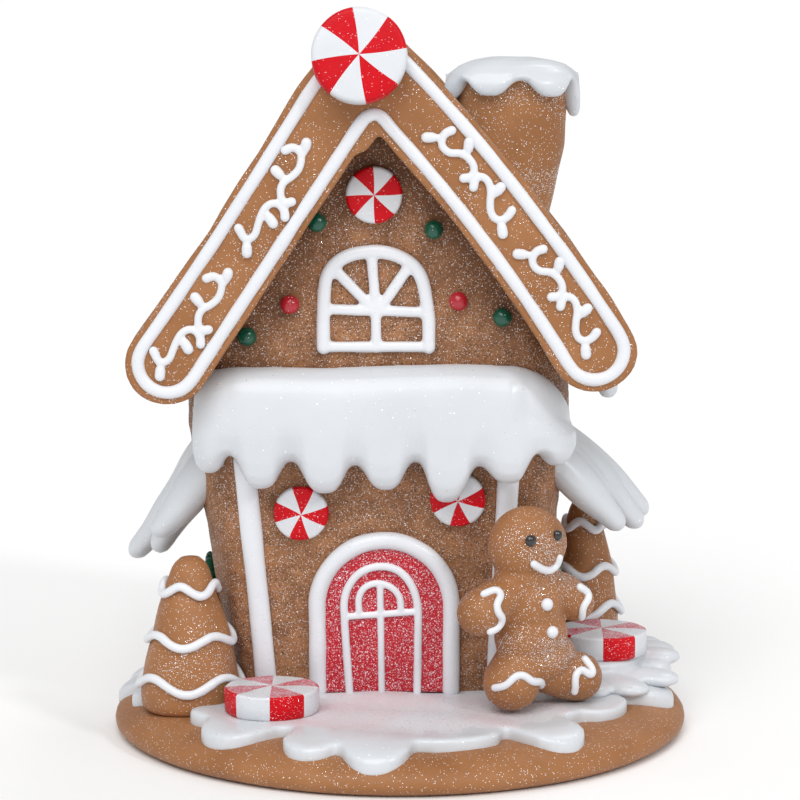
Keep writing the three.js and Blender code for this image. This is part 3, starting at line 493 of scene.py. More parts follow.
def wall_point(along, z, out, back=False):
    """A point on the wall: along runs from -1 to 1 over the face and both its rounded corners."""
    along, z, out = np.broadcast_arrays(np.asarray(along, float), z, out)
    flat = np.interp(z, WALL_LEVELS, WALL_FLAT)
    corner = np.interp(z, WALL_LEVELS, WALL_CORNER)
    side = np.sign(along)
    bend = np.maximum(0, np.abs(along) - FACE_SHARE) / (1 - FACE_SHARE) * (math.pi / 2)
    across = np.where(bend > 0, flat + corner * np.sin(bend), np.abs(along) / FACE_SHARE * flat)
    deep = CORNER_DEPTH * (1 - np.cos(bend))
    nx, ny = side * np.sin(bend) / corner, -np.cos(bend) / CORNER_DEPTH
    size = np.hypot(nx, ny)
    x = wall_middle(z) + side * across + nx / size * out
    y = deep + ny / size * out
    return np.stack([x, back_y(z) - y if back else front_y(z) + y, z], axis=-1)


def leg_point(side, down, out):
    """A point (x, z) of a roof leg: down is 0 at the ridge and 1 at the eave, out is how far outwards."""
    down, out = np.broadcast_arrays(np.asarray(down, float), np.asarray(out, float))
    end = LEFT_EAVE if side < 0 else RIGHT_EAVE
    middle = (RIDGE + end) / 2 if side < 0 else RIGHT_BOW
    d = down[..., None]
    point = RIDGE * (1 - d) ** 2 + middle * 2 * d * (1 - d) + end * d**2
    tangent = (middle - RIDGE) * 2 * (1 - d) + (end - middle) * 2 * d
    tangent /= np.linalg.norm(tangent, axis=-1, keepdims=True)
    outward = np.stack([-tangent[..., 1], tangent[..., 0]], axis=-1) * side
    return point + outward * out[..., None]


def down_at_x(side, out, x):
    """How far down a leg a line at one distance out crosses a given x."""
    downs = np.linspace(-0.6, 1.4, 401)
    across = side * (leg_point(side, downs, out)[:, 0] - x)
    return float(np.interp(0, across, downs))


def leg_row(side, out, start, end, steps=24):
    return leg_point(side, np.linspace(start, end, steps + 1), out)


def round_end(side, radius, steps=14):
    """The half round at a leg's lower end, from its outer to its inner edge."""
    end = leg_point(side, 1, 0)
    first = leg_point(side, 1, radius) - end
    turns = -side * np.linspace(0, math.pi, steps + 1)[1:-1]
    cos, sin = np.cos(turns), np.sin(turns)
    return end + np.column_stack([first[0] * cos - first[1] * sin, first[0] * sin + first[1] * cos])


def seen_on(place, x, z, skin):
    """The point of a skin at (x, z) in a frame that looks towards its own -Y, or the nearest beside it."""
    start = place @ Vector((x, -0.1, z))
    hit = skin.ray_cast(start, place.to_3x3() @ Vector((0, 1, 0)))[0]
    return np.array(hit if hit is not None else skin.find_nearest(place @ Vector((x, 0, z)))[0])


# ---------------------------------------------------------------- shared shader groups


def node(tree, kind, inputs=None, **settings):
    """Adds a shader node. Its inputs take either a value or the output that feeds them."""
    made_node = tree.nodes.new(kind)
    for key, value in settings.items():
        setattr(made_node, key, value)
    for key, value in (inputs or {}).items():
        socket = made_node.inputs[key]
        if isinstance(value, bpy.types.NodeSocket):
            tree.links.new(value, socket)
        else:
            socket.default_value = value
    return made_node


def new_group(name, inputs, outputs):
    group = bpy.data.node_groups.new(name, "ShaderNodeTree")
    for socket, kind in inputs:
        group.interface.new_socket(socket, in_out="INPUT", socket_type=kind)
    for socket, kind in outputs:
        group.interface.new_socket(socket, in_out="OUTPUT", socket_type=kind)
    return group, group.nodes.new("NodeGroupInput").outputs, group.nodes.new("NodeGroupOutput").inputs


def glitter_group():
    """Specks of glitter: one in each cell, shown in a share of the cells, with a tone of its own."""
    name = "Glitter Specks"
    if name in bpy.data.node_groups:
        return bpy.data.node_groups[name]
    group, given, out = new_group(
        name,
        [
            ("Vector", "NodeSocketVector"), ("Scale", "NodeSocketFloat"), ("Share", "NodeSocketFloat"),
            ("Size", "NodeSocketFloat")
        ],
        [("Mask", "NodeSocketFloat"), ("Tone", "NodeSocketFloat")],
    )
    cells = node(group, "ShaderNodeTexVoronoi", {"Vector": given["Vector"], "Scale": given["Scale"]})
    parts = node(group, "ShaderNodeSeparateColor", {"Color": cells.outputs["Color"]})
    near = node(
        group, "ShaderNodeMath", {0: cells.outputs["Distance"], 1: given["Size"]}, operation="LESS_THAN"
    )
    shown = node(
        group, "ShaderNodeMath", {0: parts.outputs["Red"], 1: given["Share"]}, operation="LESS_THAN"
    )
    both = node(group, "ShaderNodeMath", {0: near.outputs[0], 1: shown.outputs[0]}, operation="MULTIPLY")
    group.links.new(both.outputs[0], out["Mask"])
    group.links.new(parts.outputs["Green"], out["Tone"])
    return group


def clay_group():
    """Hand-worked clay: a slow mottle for the colour and a fine grain for the height."""
    name = "Clay Grain"
    if name in bpy.data.node_groups:
        return bpy.data.node_groups[name]
    group, given, out = new_group(
        name,
        [("Vector", "NodeSocketVector"), ("Mottle", "NodeSocketFloat"), ("Grain", "NodeSocketFloat")],
        [("Tone", "NodeSocketFloat"), ("Height", "NodeSocketFloat")],
    )
    slow = node(
        group, "ShaderNodeTexNoise",
        {"Vector": given["Vector"], "Scale": given["Mottle"], "Detail": 3.0, "Roughness": 0.55}
    )
    tone = node(
        group, "ShaderNodeMapRange", {"Value": slow.outputs["Fac"], "From Min": 0.32, "From Max": 0.68}
    )
    fine = node(
        group, "ShaderNodeTexNoise",
        {"Vector": given["Vector"], "Scale": given["Grain"], "Detail": 4.0, "Roughness": 0.6}
    )
    group.links.new(tone.outputs["Result"], out["Tone"])
    group.links.new(fine.outputs["Fac"], out["Height"])
    return group


def mixed(tree, factor, first, second):
    """Mixes two colours by a factor that changes over the surface."""
    mix = node(tree, "ShaderNodeMix", {0: factor}, data_type="RGBA")
    for socket, value in ((mix.inputs[6], first), (mix.inputs[7], second)):
        if isinstance(value, bpy.types.NodeSocket):
            tree.links.new(value, socket)
        else:
            socket.default_value = (*value, 1.0)
    return mix.outputs[2]


def new_material(name):
    """A material with a surface shader, and the place on the object as its vector."""
    material = bpy.data.materials.get(name)
    if material:
        return material, None, None, None
    material = bpy.data.materials.new(name)
    material.use_nodes = True
    tree = material.node_tree
    surface = tree.nodes["Principled BSDF"]
    place = node(tree, "ShaderNodeTexCoord").outputs["Object"]
    return material, tree, surface, place


def clay_finish(
    name, light, dark, mottle, grain, bump, specks, roughness, relief=0.3 * MM, shade=None, **shader
):
    """Clay or icing: mottled colour, fine grain, and specks as (scale, share, size, colour, roughness).

    A painted shade is (a function that makes its mask, its colour): colour painted in where shade falls.
    """
    material, tree, surface, place = new_material(name)
    if tree is None:
        return material
    clay = node(tree, "ShaderNodeGroup", node_tree=clay_group())
    tree.links.new(place, clay.inputs["Vector"])
    for key, value in (("Mottle", mottle), ("Grain", grain)):
        clay.inputs[key].default_value = value
    colour_now = mixed(tree, clay.outputs["Tone"], light, dark)
    # Painted shade: the colour is drawn towards the shade colour where the mask grows.
    if shade:
        make_mask, tint = shade
        colour_now = mixed(tree, make_mask(tree, place), colour_now, tint)
    height = clay.outputs["Height"]
    rough = node(
        tree, "ShaderNodeMapRange",
        {"Value": clay.outputs["Height"], "To Min": roughness - 0.08, "To Max": roughness + 0.08},
    ).outputs["Result"]
    for scale, amount, size, tint, shine in specks:
        speck = node(tree, "ShaderNodeGroup", node_tree=glitter_group())
        tree.links.new(place, speck.inputs["Vector"])
        for key, value in (("Scale", scale), ("Share", amount), ("Size", size)):
            speck.inputs[key].default_value = value
        mask = speck.outputs["Mask"]
        colour_now = mixed(tree, mask, colour_now, tint)
        blend = node(tree, "ShaderNodeMix", {0: mask, 2: rough, 3: shine}, data_type="FLOAT")
        rough = blend.outputs[0]
        raised = node(tree, "ShaderNodeMath", {0: mask, 1: 0.6, 2: height}, operation="MULTIPLY_ADD")
        height = raised.outputs[0]
    tree.links.new(colour_now, surface.inputs["Base Color"])
    tree.links.new(rough, surface.inputs["Roughness"])
    raised_skin = node(tree, "ShaderNodeBump", {"Height": height, "Strength": bump, "Distance": relief})
    tree.links.new(raised_skin.outputs["Normal"], surface.inputs["Normal"])
    for key, value in shader.items():
        surface.inputs[key.replace("_", " ")].default_value = value
    return material


def dough_material():
    house = bpy.context.scene.gingerbread_house
    return clay_finish(
        "Gingerbread dough", tuple(house.dough.dough), tuple(house.dough.dough_dark), 45, 900, 0.25,
        [(2600, 0.06, 0.40, (0.84, 0.78, 0.75), 0.25)], 0.56, Specular_IOR_Level=0.4, Sheen_Weight=0.04,
    )


def painted_eave_shade(tree, place):
    """Painted shade where the gable band shades the wall: grows from 0 to 1 over the last stretch of wall
    below the inner edges of the gable band.
    """
    masks = []
    for side in (-1, 1):
        top, low = leg_point(side, 0.15, -BAND_HALF), leg_point(side, 0.9, -BAND_HALF)
        run = (low - top) / np.linalg.norm(low - top)
        outward = np.array([-run[1], run[0]]) * side
        edge = float(outward @ top)
        dot = node(
            tree, "ShaderNodeVectorMath", {0: place, 1: (outward[0], 0.0, outward[1])},
            operation="DOT_PRODUCT"
        )
        near = {"Value": dot.outputs["Value"], "From Min": edge - 14 * MM, "From Max": edge, "To Max": 0.8}
        masks.append(node(tree, "ShaderNodeMapRange", near).outputs["Result"])
    return node(tree, "ShaderNodeMath", {0: masks[0], 1: masks[1]}, operation="MAXIMUM").outputs[0]


def wall_material():
    house = bpy.context.scene.gingerbread_house
    return clay_finish(
        "Grainy wall dough", tuple(house.dough.wall), (0.225, 0.100, 0.045), 130, 420, 0.75,
        [
            # Painted shade: dark specks that stand in for shaded pits in the grainy dough.
            (1700, 0.20, 0.42, tuple(house.dough.wall_painted_shade), 0.5),
            (2300, 0.22, 0.44, (0.58, 0.37, 0.27), 0.3),
            (2800, 0.07, 0.44, (0.88, 0.80, 0.78), 0.2),
        # Painted shade: the wall darkens below the inner edges of the gable band, where the band's shadow
        # falls.
        ], 0.6, relief=0.7 * MM, shade=(painted_eave_shade, (0.150, 0.058, 0.022)), Specular_IOR_Level=0.35,
    )


def snow_material():
    house = bpy.context.scene.gingerbread_house
    snow = tuple(house.icing.snow)
    return clay_finish(
        "Icing snow", snow, tuple(0.95 * c for c in snow), 40, 260, 0.12,
        [(900, 0.03, 0.25, (0.93, 0.93, 0.95), 0.1)], 0.38, Coat_Weight=0.25, Coat_Roughness=0.2,
    )


def frosted_material():
    house = bpy.context.scene.gingerbread_house
    return clay_finish(
        "Frosted snow", tuple(house.icing.pink), tuple(house.icing.snow), 55, 900, 0.45,
        [(1500, 0.3, 0.42, (0.90, 0.88, 0.90), 0.2), (1300, 0.1, 0.4, (0.55, 0.50, 0.53), 0.4)], 0.55,
    )


def piping_material():
    house = bpy.context.scene.gingerbread_house
    piping = tuple(house.icing.piping)
    return clay_finish(
        "Piped icing", piping, tuple(0.95 * c for c in piping), 70, 420, 0.10,
        [(900, 0.02, 0.22, (0.93, 0.93, 0.95), 0.1)], 0.36, Coat_Weight=0.2, Coat_Roughness=0.25,
    )


def red_material():
    house = bpy.context.scene.gingerbread_house
    red = tuple(house.sweets.red)
    return clay_finish(
        "Red sweet", red, (red[0] * 0.85, red[1], red[2]), 120, 1400, 0.35,
        [(2400, 0.05, 0.40, (0.86, 0.40, 0.42), 0.2)], 0.4, Specular_IOR_Level=0.2,
    )


def white_material():
    house = bpy.context.scene.gingerbread_house
    white = tuple(house.sweets.white)
    return clay_finish(
        "White sweet", white, tuple(0.94 * c for c in white), 90, 600, 0.12,
        [(1300, 0.03, 0.3, (0.92, 0.90, 0.93), 0.2)], 0.4, Coat_Weight=0.15, Coat_Roughness=0.3,
    )


def frosted_sweet_material():
    return clay_finish(
        "Frosted red sweet", (0.56, 0.06, 0.09), (0.60, 0.30, 0.34), 220, 1400, 0.4,
        [(2200, 0.42, 0.46, (0.80, 0.66, 0.70), 0.3)], 0.5, Specular_IOR_Level=0.3,
    )


def door_material():
    house = bpy.context.scene.gingerbread_house
    door = tuple(house.sweets.door)
    return clay_finish(
        "Sugared red", door, (door[0] * 0.85, door[1] * 0.8, door[2] * 0.8), 80, 1200, 0.5,
        [(2400, 0.34, 0.44, (0.72, 0.34, 0.38), 0.3), (1900, 0.16, 0.40, (0.88, 0.78, 0.82), 0.2)], 0.45,
        Specular_IOR_Level=0.3,
    )


def pearl_material(name, tint):
    return clay_finish(
        name, tint, tuple(0.75 * c for c in tint), 300, 1500, 0.3,
        [(2000, 0.02, 0.3, (0.75, 0.75, 0.75), 0.2)], 0.22, Specular_IOR_Level=0.5, Coat_Weight=0.3,
        Coat_Roughness=0.08,
    )


def red_pearl_material():
    house = bpy.context.scene.gingerbread_house
    return pearl_material("Red pearl", tuple(house.sweets.pearl_red))


def green_pearl_material():
    house = bpy.context.scene.gingerbread_house
    return pearl_material("Green pearl", tuple(house.sweets.pearl_green))


def bead_material():
    house = bpy.context.scene.gingerbread_house
    return clay_finish(
        "Black bead", tuple(house.sweets.bead), (0.02, 0.018, 0.02), 500, 900, 0.05, [], 0.2, Coat_Weight=0.6
    )


def flake_material(name, tint, pale):
    """Glitter: each flake has a tone of its own between two metal tints."""
    material, tree, surface, place = new_material(name)
    if tree is None:
        return material
    cells = node(tree, "ShaderNodeTexVoronoi", {"Vector": place, "Scale": 900.0})
    parts = node(tree, "ShaderNodeSeparateColor", {"Color": cells.outputs["Color"]})
    tree.links.new(mixed(tree, parts.outputs["Red"], tint, pale), surface.inputs["Base Color"])
    rough = node(
        tree, "ShaderNodeMapRange", {"Value": parts.outputs["Green"], "To Min": 0.12, "To Max": 0.3}
    )
    tree.links.new(rough.outputs["Result"], surface.inputs["Roughness"])
    surface.inputs["Metallic"].default_value = 0.9
    return material


# ---------------------------------------------------------------- ground


# Lobes of the ground snow: bearing from the front in degrees, reach in metres, half the width in degrees.
SNOW_LOBES = [
    (-176, 0.085, 8), (-157, 0.086, 8), (-137, 0.087, 8), (-117, 0.089, 7.5), (-103, 0.0925, 6),
    (-91, 0.0925, 5.5), (-79, 0.088, 5), (-66, 0.082, 5), (-53, 0.080, 6), (-40, 0.0885, 9),
    (-19.5, 0.088, 7.5), (-5, 0.0915, 8.5), (13, 0.081, 11.5), (36, 0.089, 8), (62, 0.079, 9.5),
    (81, 0.0895, 8.5), (96, 0.088, 6), (108, 0.087, 6.5), (128, 0.088, 8.5), (148, 0.086, 8),
    (166, 0.085, 8),
]
SNOW_BODY = 72 * MM


def snow_reach(bearings):
    """Radius of the ground snow at each bearing: a round body with full, rounded lobes."""
    reach = np.full(len(bearings), SNOW_BODY)
    for bearing, tip, half in SNOW_LOBES:
        apart = np.abs((bearings - bearing + 180) % 360 - 180) / half
        bulge = np.clip(1 - apart**2.2, 0, 1) ** (1 / 2.2)
        reach = np.maximum(reach, SNOW_BODY + (tip - SNOW_BODY) * bulge)
    return reach


def make_base():
    """The round gingerbread base: flat underneath, with a broad rounded rim."""
    house = bpy.context.scene.gingerbread_house
    turn = np.linspace(0, math.pi / 2, 9)
    foot = BASE_RADIUS - 6 * MM
    under = [(foot + 6 * MM * math.sin(a), BASE_WAIST * (1 - math.cos(a))) for a in turn]
    over = [
        (
            BASE_FLAT + (BASE_RADIUS - BASE_FLAT) * math.cos(a),
            BASE_WAIST + (BASE_TOP - BASE_WAIST) * math.sin(a)
        )
        for a in turn[1:]
    ]
    inward = [(r, BASE_TOP) for r in np.linspace(BASE_FLAT, 0, 14)[1:]]
    outward = [(r, 0.0) for r in np.linspace(0, foot, 10)[:-1]]
    piece = new_piece("dough_base", lathe(outward + under + over + inward, 176))
    points = points_of(piece)
    radius = np.hypot(points[:, 0], points[:, 1])
    grown = 1 - 0.006 * (0.5 + 0.5 * unevenness(points * [1, 1, 0], 70 * MM, 3))
    points[:, :2] *= grown[:, None]
    raised = np.clip(points[:, 2] / BASE_TOP, 0, 1) * (radius > 0)
    points[:, 2] += raised * house.dough.unevenness * unevenness(points, 24 * MM, 5)
    points[:, 2] = np.clip(points[:, 2], 0, None)
    set_points(piece, points)
    finish_piece(piece, dough_material(), "gingerbread", "base")


def make_ground_snow():
    """The icing snow on the base, with lobes that run over its rim."""
    bearings = np.linspace(-180, 180, 241)[:-1]
    reach = snow_reach(bearings)
    angle = np.radians(bearings)
    outline = np.column_stack([reach * np.sin(angle), -reach * np.cos(angle)])
    low = BASE_TOP - 1.6 * MM
    piece = knead("ground_snow", [prism(outline, low, SNOW_TOP + 0.3 * MM, 2)], 1.1 * MM, 5, 0.6)
    points = points_of(piece)
    radius = np.hypot(points[:, 0], points[:, 1])
    points[:, 2] += base_top(np.minimum(radius, BASE_RADIUS - 0.4 * MM)) - BASE_TOP
    top = np.clip((points[:, 2] - BASE_TOP) / (SNOW_TOP - BASE_TOP), 0, 1)
    points[:, 2] += top * 0.45 * MM * unevenness(points, 22 * MM, 8)
    set_points(piece, points)
    # The snow in front of the door is frosted with sugar.
    middles = np.array([face.center for face in piece.data.polygons])
    door = node_centre("door_frame")
    spread = np.hypot((middles[:, 0] - door[0] - 4 * MM) / (52 * MM), (middles[:, 1] + 44 * MM) / (26 * MM))
    spread += 0.12 * unevenness(middles, 9 * MM, 21)
    flat = np.array([face.normal.z for face in piece.data.polygons]) > 0.93
    frosted = (spread < 1) & flat & (middles[:, 2] > BASE_TOP)
    piece.data.materials.append(snow_material())
    piece.data.polygons.foreach_set("material_index", frosted.astype(np.int32))
    finish_piece(piece, frosted_material(), "snow", "ground_icing")


# Fingers of the mound: where each starts and ends (x, y), its half width and the height of its middle.
MOUND_FINGERS = [
    ((60, -4), (84.5, -9.5), 6.0, 17.4), ((60, 4), (82.5, 1.5), 6.5, 18.2),
    ((62, 10), (86.5, 9.5), 6.0, 20.2), ((62, 20), (86.0, 20.5), 6.5, 19.6),
    ((60, 30), (83.0, 32.0), 6.0, 18.6), ((56, 38), (76.0, 43.0), 6.0, 18.0),
    ((50, 40), (57.0, 50.0), 5.5, 17.6), ((58, -8), (74.0, -20.0), 6.5, 16.6),
    ((58, -10), (62.0, -22.0), 6.0, 16.4),
]


def make_mound():
    low, high = node_box("snow_mound")
    middle = (low + high) / 2
    around = np.radians(np.arange(0, 360, 6))
    half = (high - low)[:2] / 2 * 0.86
    outline = np.column_stack(
        [middle[0] - 2 * MM + half[0] * np.cos(around), middle[1] + half[1] * np.sin(around)]
    )
    lumps = [prism(outline, low[2] - 1 * MM, high[2] - 0.3 * MM, 2)]
    for start, end, width, level in MOUND_FINGERS:
        line = np.array([(*start, level), (*end, level - 0.8)]) * MM
        lumps.append(rod(spline(line, 2 * MM), width * MM, up=(0, 0, 1), flat=0.42, sides=16))
    piece = knead("snow_mound_soft", lumps, 0.8 * MM, 6, 0.7)
    swell(piece, 0.35 * MM, 14 * MM, 4)
    finish_piece(piece, snow_material(), "snow", "snow_mound")


# ---------------------------------------------------------------- walls


def make_walls():
    """The flared walls with rounded corners, running up under the roof to the gable."""
    house = bpy.context.scene.gingerbread_house
    top = node_box("house_body")[1][2]
    levels = np.concatenate(
        [np.linspace(SNOW_TOP - 1.5 * MM, GABLE_FOOT, 46), np.linspace(GABLE_FOOT, top, 40)[1:]]
    )
    across = np.concatenate(
        [
            np.linspace(-1, -FACE_SHARE, 11), np.linspace(-FACE_SHARE, FACE_SHARE, 27)[1:-1],
            np.linspace(FACE_SHARE, 1, 11)
        ]
    )
    under = -10 * MM
    roof = {side: leg_row(side, under, -0.35, 1.25, 120) for side in (-1, 1)}
    rings = []
    for z in levels:
        ring = np.vstack([wall_point(across, z, 0.0), wall_point(across[::-1], z, 0.0, True)])
        for side, row in roof.items():
            order = np.argsort(row[:, 1])
            limit = np.interp(z, row[order, 1], row[order, 0])
            ring[:, 0] = np.maximum(ring[:, 0], limit) if side < 0 else np.minimum(ring[:, 0], limit)
        rings.append(ring)
    piece = knead("house_walls", [loft(rings)], 1.5 * MM, 3)
    swell(piece, house.dough.unevenness, 26 * MM, 1)
    swell(piece, 0.14 * MM, 4.5 * MM, 2)
    finish_piece(piece, wall_material(), "wall_bread", "house_body")


# ---------------------------------------------------------------- roof


# How far a roof slab's two faces lie outwards of the leg's middle line, and how far down it ends.
SLAB_FACES = (3 * MM, -9 * MM)
SLAB_END = 1.03
# Drips along each eave, and the longer ones on each side as y in millimetres and reach down the leg.
EAVE_DRIPS = 7
LONG_DRIPS = {-1: (), 1: ((-12, 1.15), (14, 1.13), (40, 1.14))}


def make_roof():
    """The two roof slabs behind the front gable band."""
    for side, word in ((-1, "left"), (1, "right")):
        low, high = node_box(f"roof_{word}")
        outer, inner = (
            leg_row(side, out, down_at_x(side, out, RIDGE[0]), SLAB_END, 20) for out in SLAB_FACES
        )
        slab = prism(np.vstack([outer, inner[::-1]]), low[1], high[1], 1)
        piece = knead(f"roof_slab_{word}", [slab], 1.4 * MM, 4, 0.4)
        finish_piece(piece, dough_material(), "gingerbread", f"roof_{word}")


def make_roof_snow():
    """One blanket of snow over both slopes, with soft drips along the eaves."""
    lumps = []
    for side, word in ((-1, "left"), (1, "right")):
        low, high = node_box(f"roof_snow_{word}")
        top = leg_row(side, 8.5 * MM, 0.05, 1.0, 20)
        crown = np.array([[RIDGE[0] - side * 1 * MM, high[2] - 0.5 * MM]])
        under = leg_row(side, 2.5 * MM, down_at_x(side, 2.5 * MM, RIDGE[0] - side * 1 * MM), 1.0, 20)[::-1]
        wrap = leg_point(side, np.array([1.04, 1.055, 1.05, 1.02]), np.array([6.5, 3, -3, -5]) * MM)
        lumps.append(prism(np.vstack([crown, top, wrap, under]), low[1] + 1 * MM, high[1] - 1 * MM, 1))
        for i in range(EAVE_DRIPS):
            y = low[1] + (high[1] - low[1]) * (i + 0.5) / EAVE_DRIPS
            reach = 1.055 + 0.03 * (0.5 + 0.5 * math.sin(2.4 * i + side))
            line = leg_point(side, np.array([0.84, 0.95, reach]), np.array([0.5, 3.6, 0.0]) * MM)
            path = spline(np.column_stack([line[:, 0], np.full(3, y), line[:, 1]]), 2 * MM)
            outward = leg_point(side, 0.9, 1.0) - leg_point(side, 0.9, 0.0)
            lumps.append(rod(path, 6.2 * MM, up=(outward[0], 0, outward[1]), flat=0.8, sides=14))
        for y, reach in LONG_DRIPS[side]:
            line = leg_point(side, np.array([0.94, 1.05, reach]), np.array([4.0, 1.5, -2.5]) * MM)
            path = spline(np.column_stack([line[:, 0], np.full(3, y * MM), line[:, 1]]), 1.5 * MM)
            lumps.append(rod(path, np.linspace(5.0, 3.6, len(path)) * MM, sides=14))
    piece = knead("roof_snow_soft", lumps, 1.4 * MM, 8)
    swell(piece, 0.6 * MM, 30 * MM, 7)
    finish_piece(piece, snow_material(), "snow", "roof_snow_left", "roof_snow_right")


def band_outline():
    """Both legs of the gable band as one outline, with a rounded inner peak."""
    legs = []
    for side in (-1, 1):
        downs = np.linspace(0, 1, 25)
        outer = leg_point(side, downs, BAND_HALF - np.interp(downs, BAND_PLACES, BAND_NARROWER[side]) * MM)
        inner = leg_row(side, -BAND_HALF, down_at_x(side, -BAND_HALF, RIDGE[0] + side * INNER_PEAK[0]), 1.0)
        crown = np.array([[RIDGE[0], RIDGE[1] + BAND_CREST - CROWN_DROP]])
        legs.append(np.vstack([crown, outer, round_end(side, BAND_HALF), inner[::-1]]))
    peak = [[RIDGE[0], legs[0][-1][1] + INNER_PEAK[1]]]
    return np.vstack([legs[0], peak, legs[1][::-1][:-1]])


def band_line(offset):
    """A line inside the band's edge: up the outer side, round each end and over the rounded inner peak."""
    rows = []
    for side in (-1, 1):
        downs = np.linspace(0.06, 0.995, 17)
        outer = leg_point(
            side, downs, offset - 0.55 * np.interp(downs, BAND_PLACES, BAND_NARROWER[side]) * MM
        )
        inner = leg_row(side, -offset, down_at_x(side, -offset, RIDGE[0]) + 0.05, 0.995, 16)[::-1]
        row = np.vstack([outer, round_end(side, offset, 8), inner])
        rows.append(row if side < 0 else row[::-1])
    peak = [[RIDGE[0], RIDGE[1] - 1.92 * offset]]
    return np.vstack([rows[0], peak, rows[1]])


def press(piece, line, depth, width):
    """Presses a shallow groove under a line laid on a face that looks towards -Y."""
    points = points_of(piece)
    near = points[:, 1] < points[:, 1].min() + 3 * MM
    spots = points[near][:, [0, 2]]
    apart = np.full(len(spots), np.inf)
    for point in line:
        apart = np.minimum(apart, np.hypot(*(spots - point).T))
    points[near, 1] += depth * np.exp(-((apart / width) ** 2))
    set_points(piece, points)


def make_bands():
    """The wide gable bands with round ends, at the front and the back."""
    house = bpy.context.scene.gingerbread_house
    for name, node_name, cell, keep in (
        ("gable_band", "gable_band_front", 0.85 * MM, 0.8),
        ("gable_band_behind", "gable_band_back", 1.2 * MM, 0.7)
    ):
        low, high = node_box(node_name)
        piece = knead(name, [prism(band_outline(), low[1], high[1], 1)], cell, 7, keep)
        swell(piece, house.dough.unevenness, 20 * MM, 12)
        if node_name == "gable_band_front":
            press(piece, spline(band_line(BAND_LINE), 1.2 * MM), 0.6 * MM, 2.4 * MM)
        finish_piece(piece, dough_material(), "gingerbread", node_name)


def make_band_piping():
    """The white line round the gable band, and its plain twin at the back."""
    house = bpy.context.scene.gingerbread_house
    half = house.icing.band_line
    line = spline(band_line(BAND_LINE), 1.3 * MM)
    sizes = half * (1 + 0.05 * unevenness(np.column_stack([line, line[:, 0] * 0]), 14 * MM, 31))
    front = band_low[1] + 0.5 * MM
    path = np.column_stack([line[:, 0], np.full(len(line), front), line[:, 1]])
    piece = new_piece("band_piping", rod(path, sizes, flat=0.85, sides=16))
    finish_piece(piece, piping_material(), "icing", "gable_piping_front")
    path = np.column_stack([line[:, 0], np.full(len(line), back_high[1] - 0.5 * MM), line[:, 1]])
    piece = new_piece("band_piping_behind", rod(path, sizes, up=(0, 1, 0), flat=0.85, sides=12))
    finish_piece(piece, piping_material(), "icing")


# The trailing vines in leg coordinates: distance down the slope and towards the outer edge, in millimetres.
# Each has two curling strokes, and four plump leaves that are thin where they join.
VINE_STROKES = {
    "left": [
        [
            (-14, 5.5), (-16, 4), (-16, 1.5), (-14.5, 0), (-11.5, -1), (-8.5, -0.5), (-6, 0.5), (-3.8, 0.4),
            (-1.6, -1), (-0.4, -3), (-2, -4.6)
        ],
        [
            (3, -5.5), (1.5, -4.2), (0.8, -2), (1.6, 0), (3.7, 1), (6.2, 0.9), (9, 0.2), (12, -0.7),
            (14, -0.4), (15.2, 1), (13.6, 4.4)
        ],
    ],
    "right": [
        [
            (-15.3, 4), (-15.8, 2), (-15, 0), (-13, -1.2), (-10.4, -0.6), (-8.3, 1.7), (-5.8, 2.7),
            (-3.2, 2.6), (-1.4, 1.5), (-0.8, -0.3), (-1.8, -2.2)
        ],
        [
            (2.2, -1.6), (0.6, 0.6), (1.5, 2.5), (3.8, 2.9), (6.3, 1.8), (8.6, -0.2), (11, -2), (13.5, -2.5),
            (15.3, -1.2), (15.6, 1), (15, 3)
        ],
    ],
}
VINE_LEAVES = {
    "left": [
        [(-19.4, 1.4), (-16.6, 0.2)], [(-7.3, 4.6), (-6.5, 1.1)], [(6.6, -3.5), (5, 0.2)],
        [(18.5, -1.8), (15.3, 0.3)]
    ],
    "right": [
        [(-18.5, -3.2), (-16.2, -0.4)], [(-9.2, 5.9), (-6.8, 3.4)], [(7.4, 4.8), (8, 1.4)],
        [(18.8, -3.5), (15.4, -1.6)]
    ],
}
# Place down the leg of each vine's middle, and how far it is turned.
VINE_PLACES = {
    "left": {"upper": (0.455, 0), "lower": (0.872, 5)}, "right": {"upper": (0.43, 0), "lower": (0.83, 1)}
}
LEG_SIDES = {"left": -1, "right": 1}


def on_leg(side, down, turn, spots):
    """Turns spots in leg coordinates round a place on the leg into points (x, z)."""
    centre = leg_point(side, down, 0.0)
    slope = leg_point(side, down + 0.01, 0.0) - centre
    slope /= np.linalg.norm(slope)
    outward = leg_point(side, down, MM) - centre
    outward /= np.linalg.norm(outward)
    cos, sin = math.cos(math.radians(turn)), math.sin(math.radians(turn))
    return [centre + (slope * (a * cos - d * sin) + outward * (a * sin + d * cos)) * MM for a, d in spots]


def piped_on_band(spots, sizes):
    """A line of icing over points (x, z) on the front band, with its half widths from end to end."""
    line = spline(spots, 0.6 * MM)
    path = np.column_stack([line[:, 0], np.full(len(line), band_low[1] - 0.2 * MM), line[:, 1]])
    half = np.interp(np.linspace(0, 1, len(line)), np.linspace(0, 1, len(sizes)), sizes)
    return rod(path, half, flat=0.9, sides=14)


def make_vines():
    """Piped vines along the band, two on each leg."""
    house = bpy.context.scene.gingerbread_house
    wide = house.icing.vine_line
    stroke_sizes = [wide * 1.2, wide, wide, wide, wide, wide * 1.2]
    leaf_sizes = [wide * 1.35, wide * 1.3, wide * 0.75]
    for word, side in LEG_SIDES.items():
        for level, (down, turn) in VINE_PLACES[word].items():
            lines = [(stroke, stroke_sizes) for stroke in VINE_STROKES[word]]
            lines += [(leaf, leaf_sizes) for leaf in VINE_LEAVES[word]]
            lumps = [piped_on_band(on_leg(side, down, turn, spots), sizes) for spots, sizes in lines]
            piece = knead(f"piped_vine_{word}_{level}", lumps, 0.34 * MM, 3)
            finish_piece(piece, piping_material(), "icing", f"vine_{word}_{level}")


# ---------------------------------------------------------------- chimney


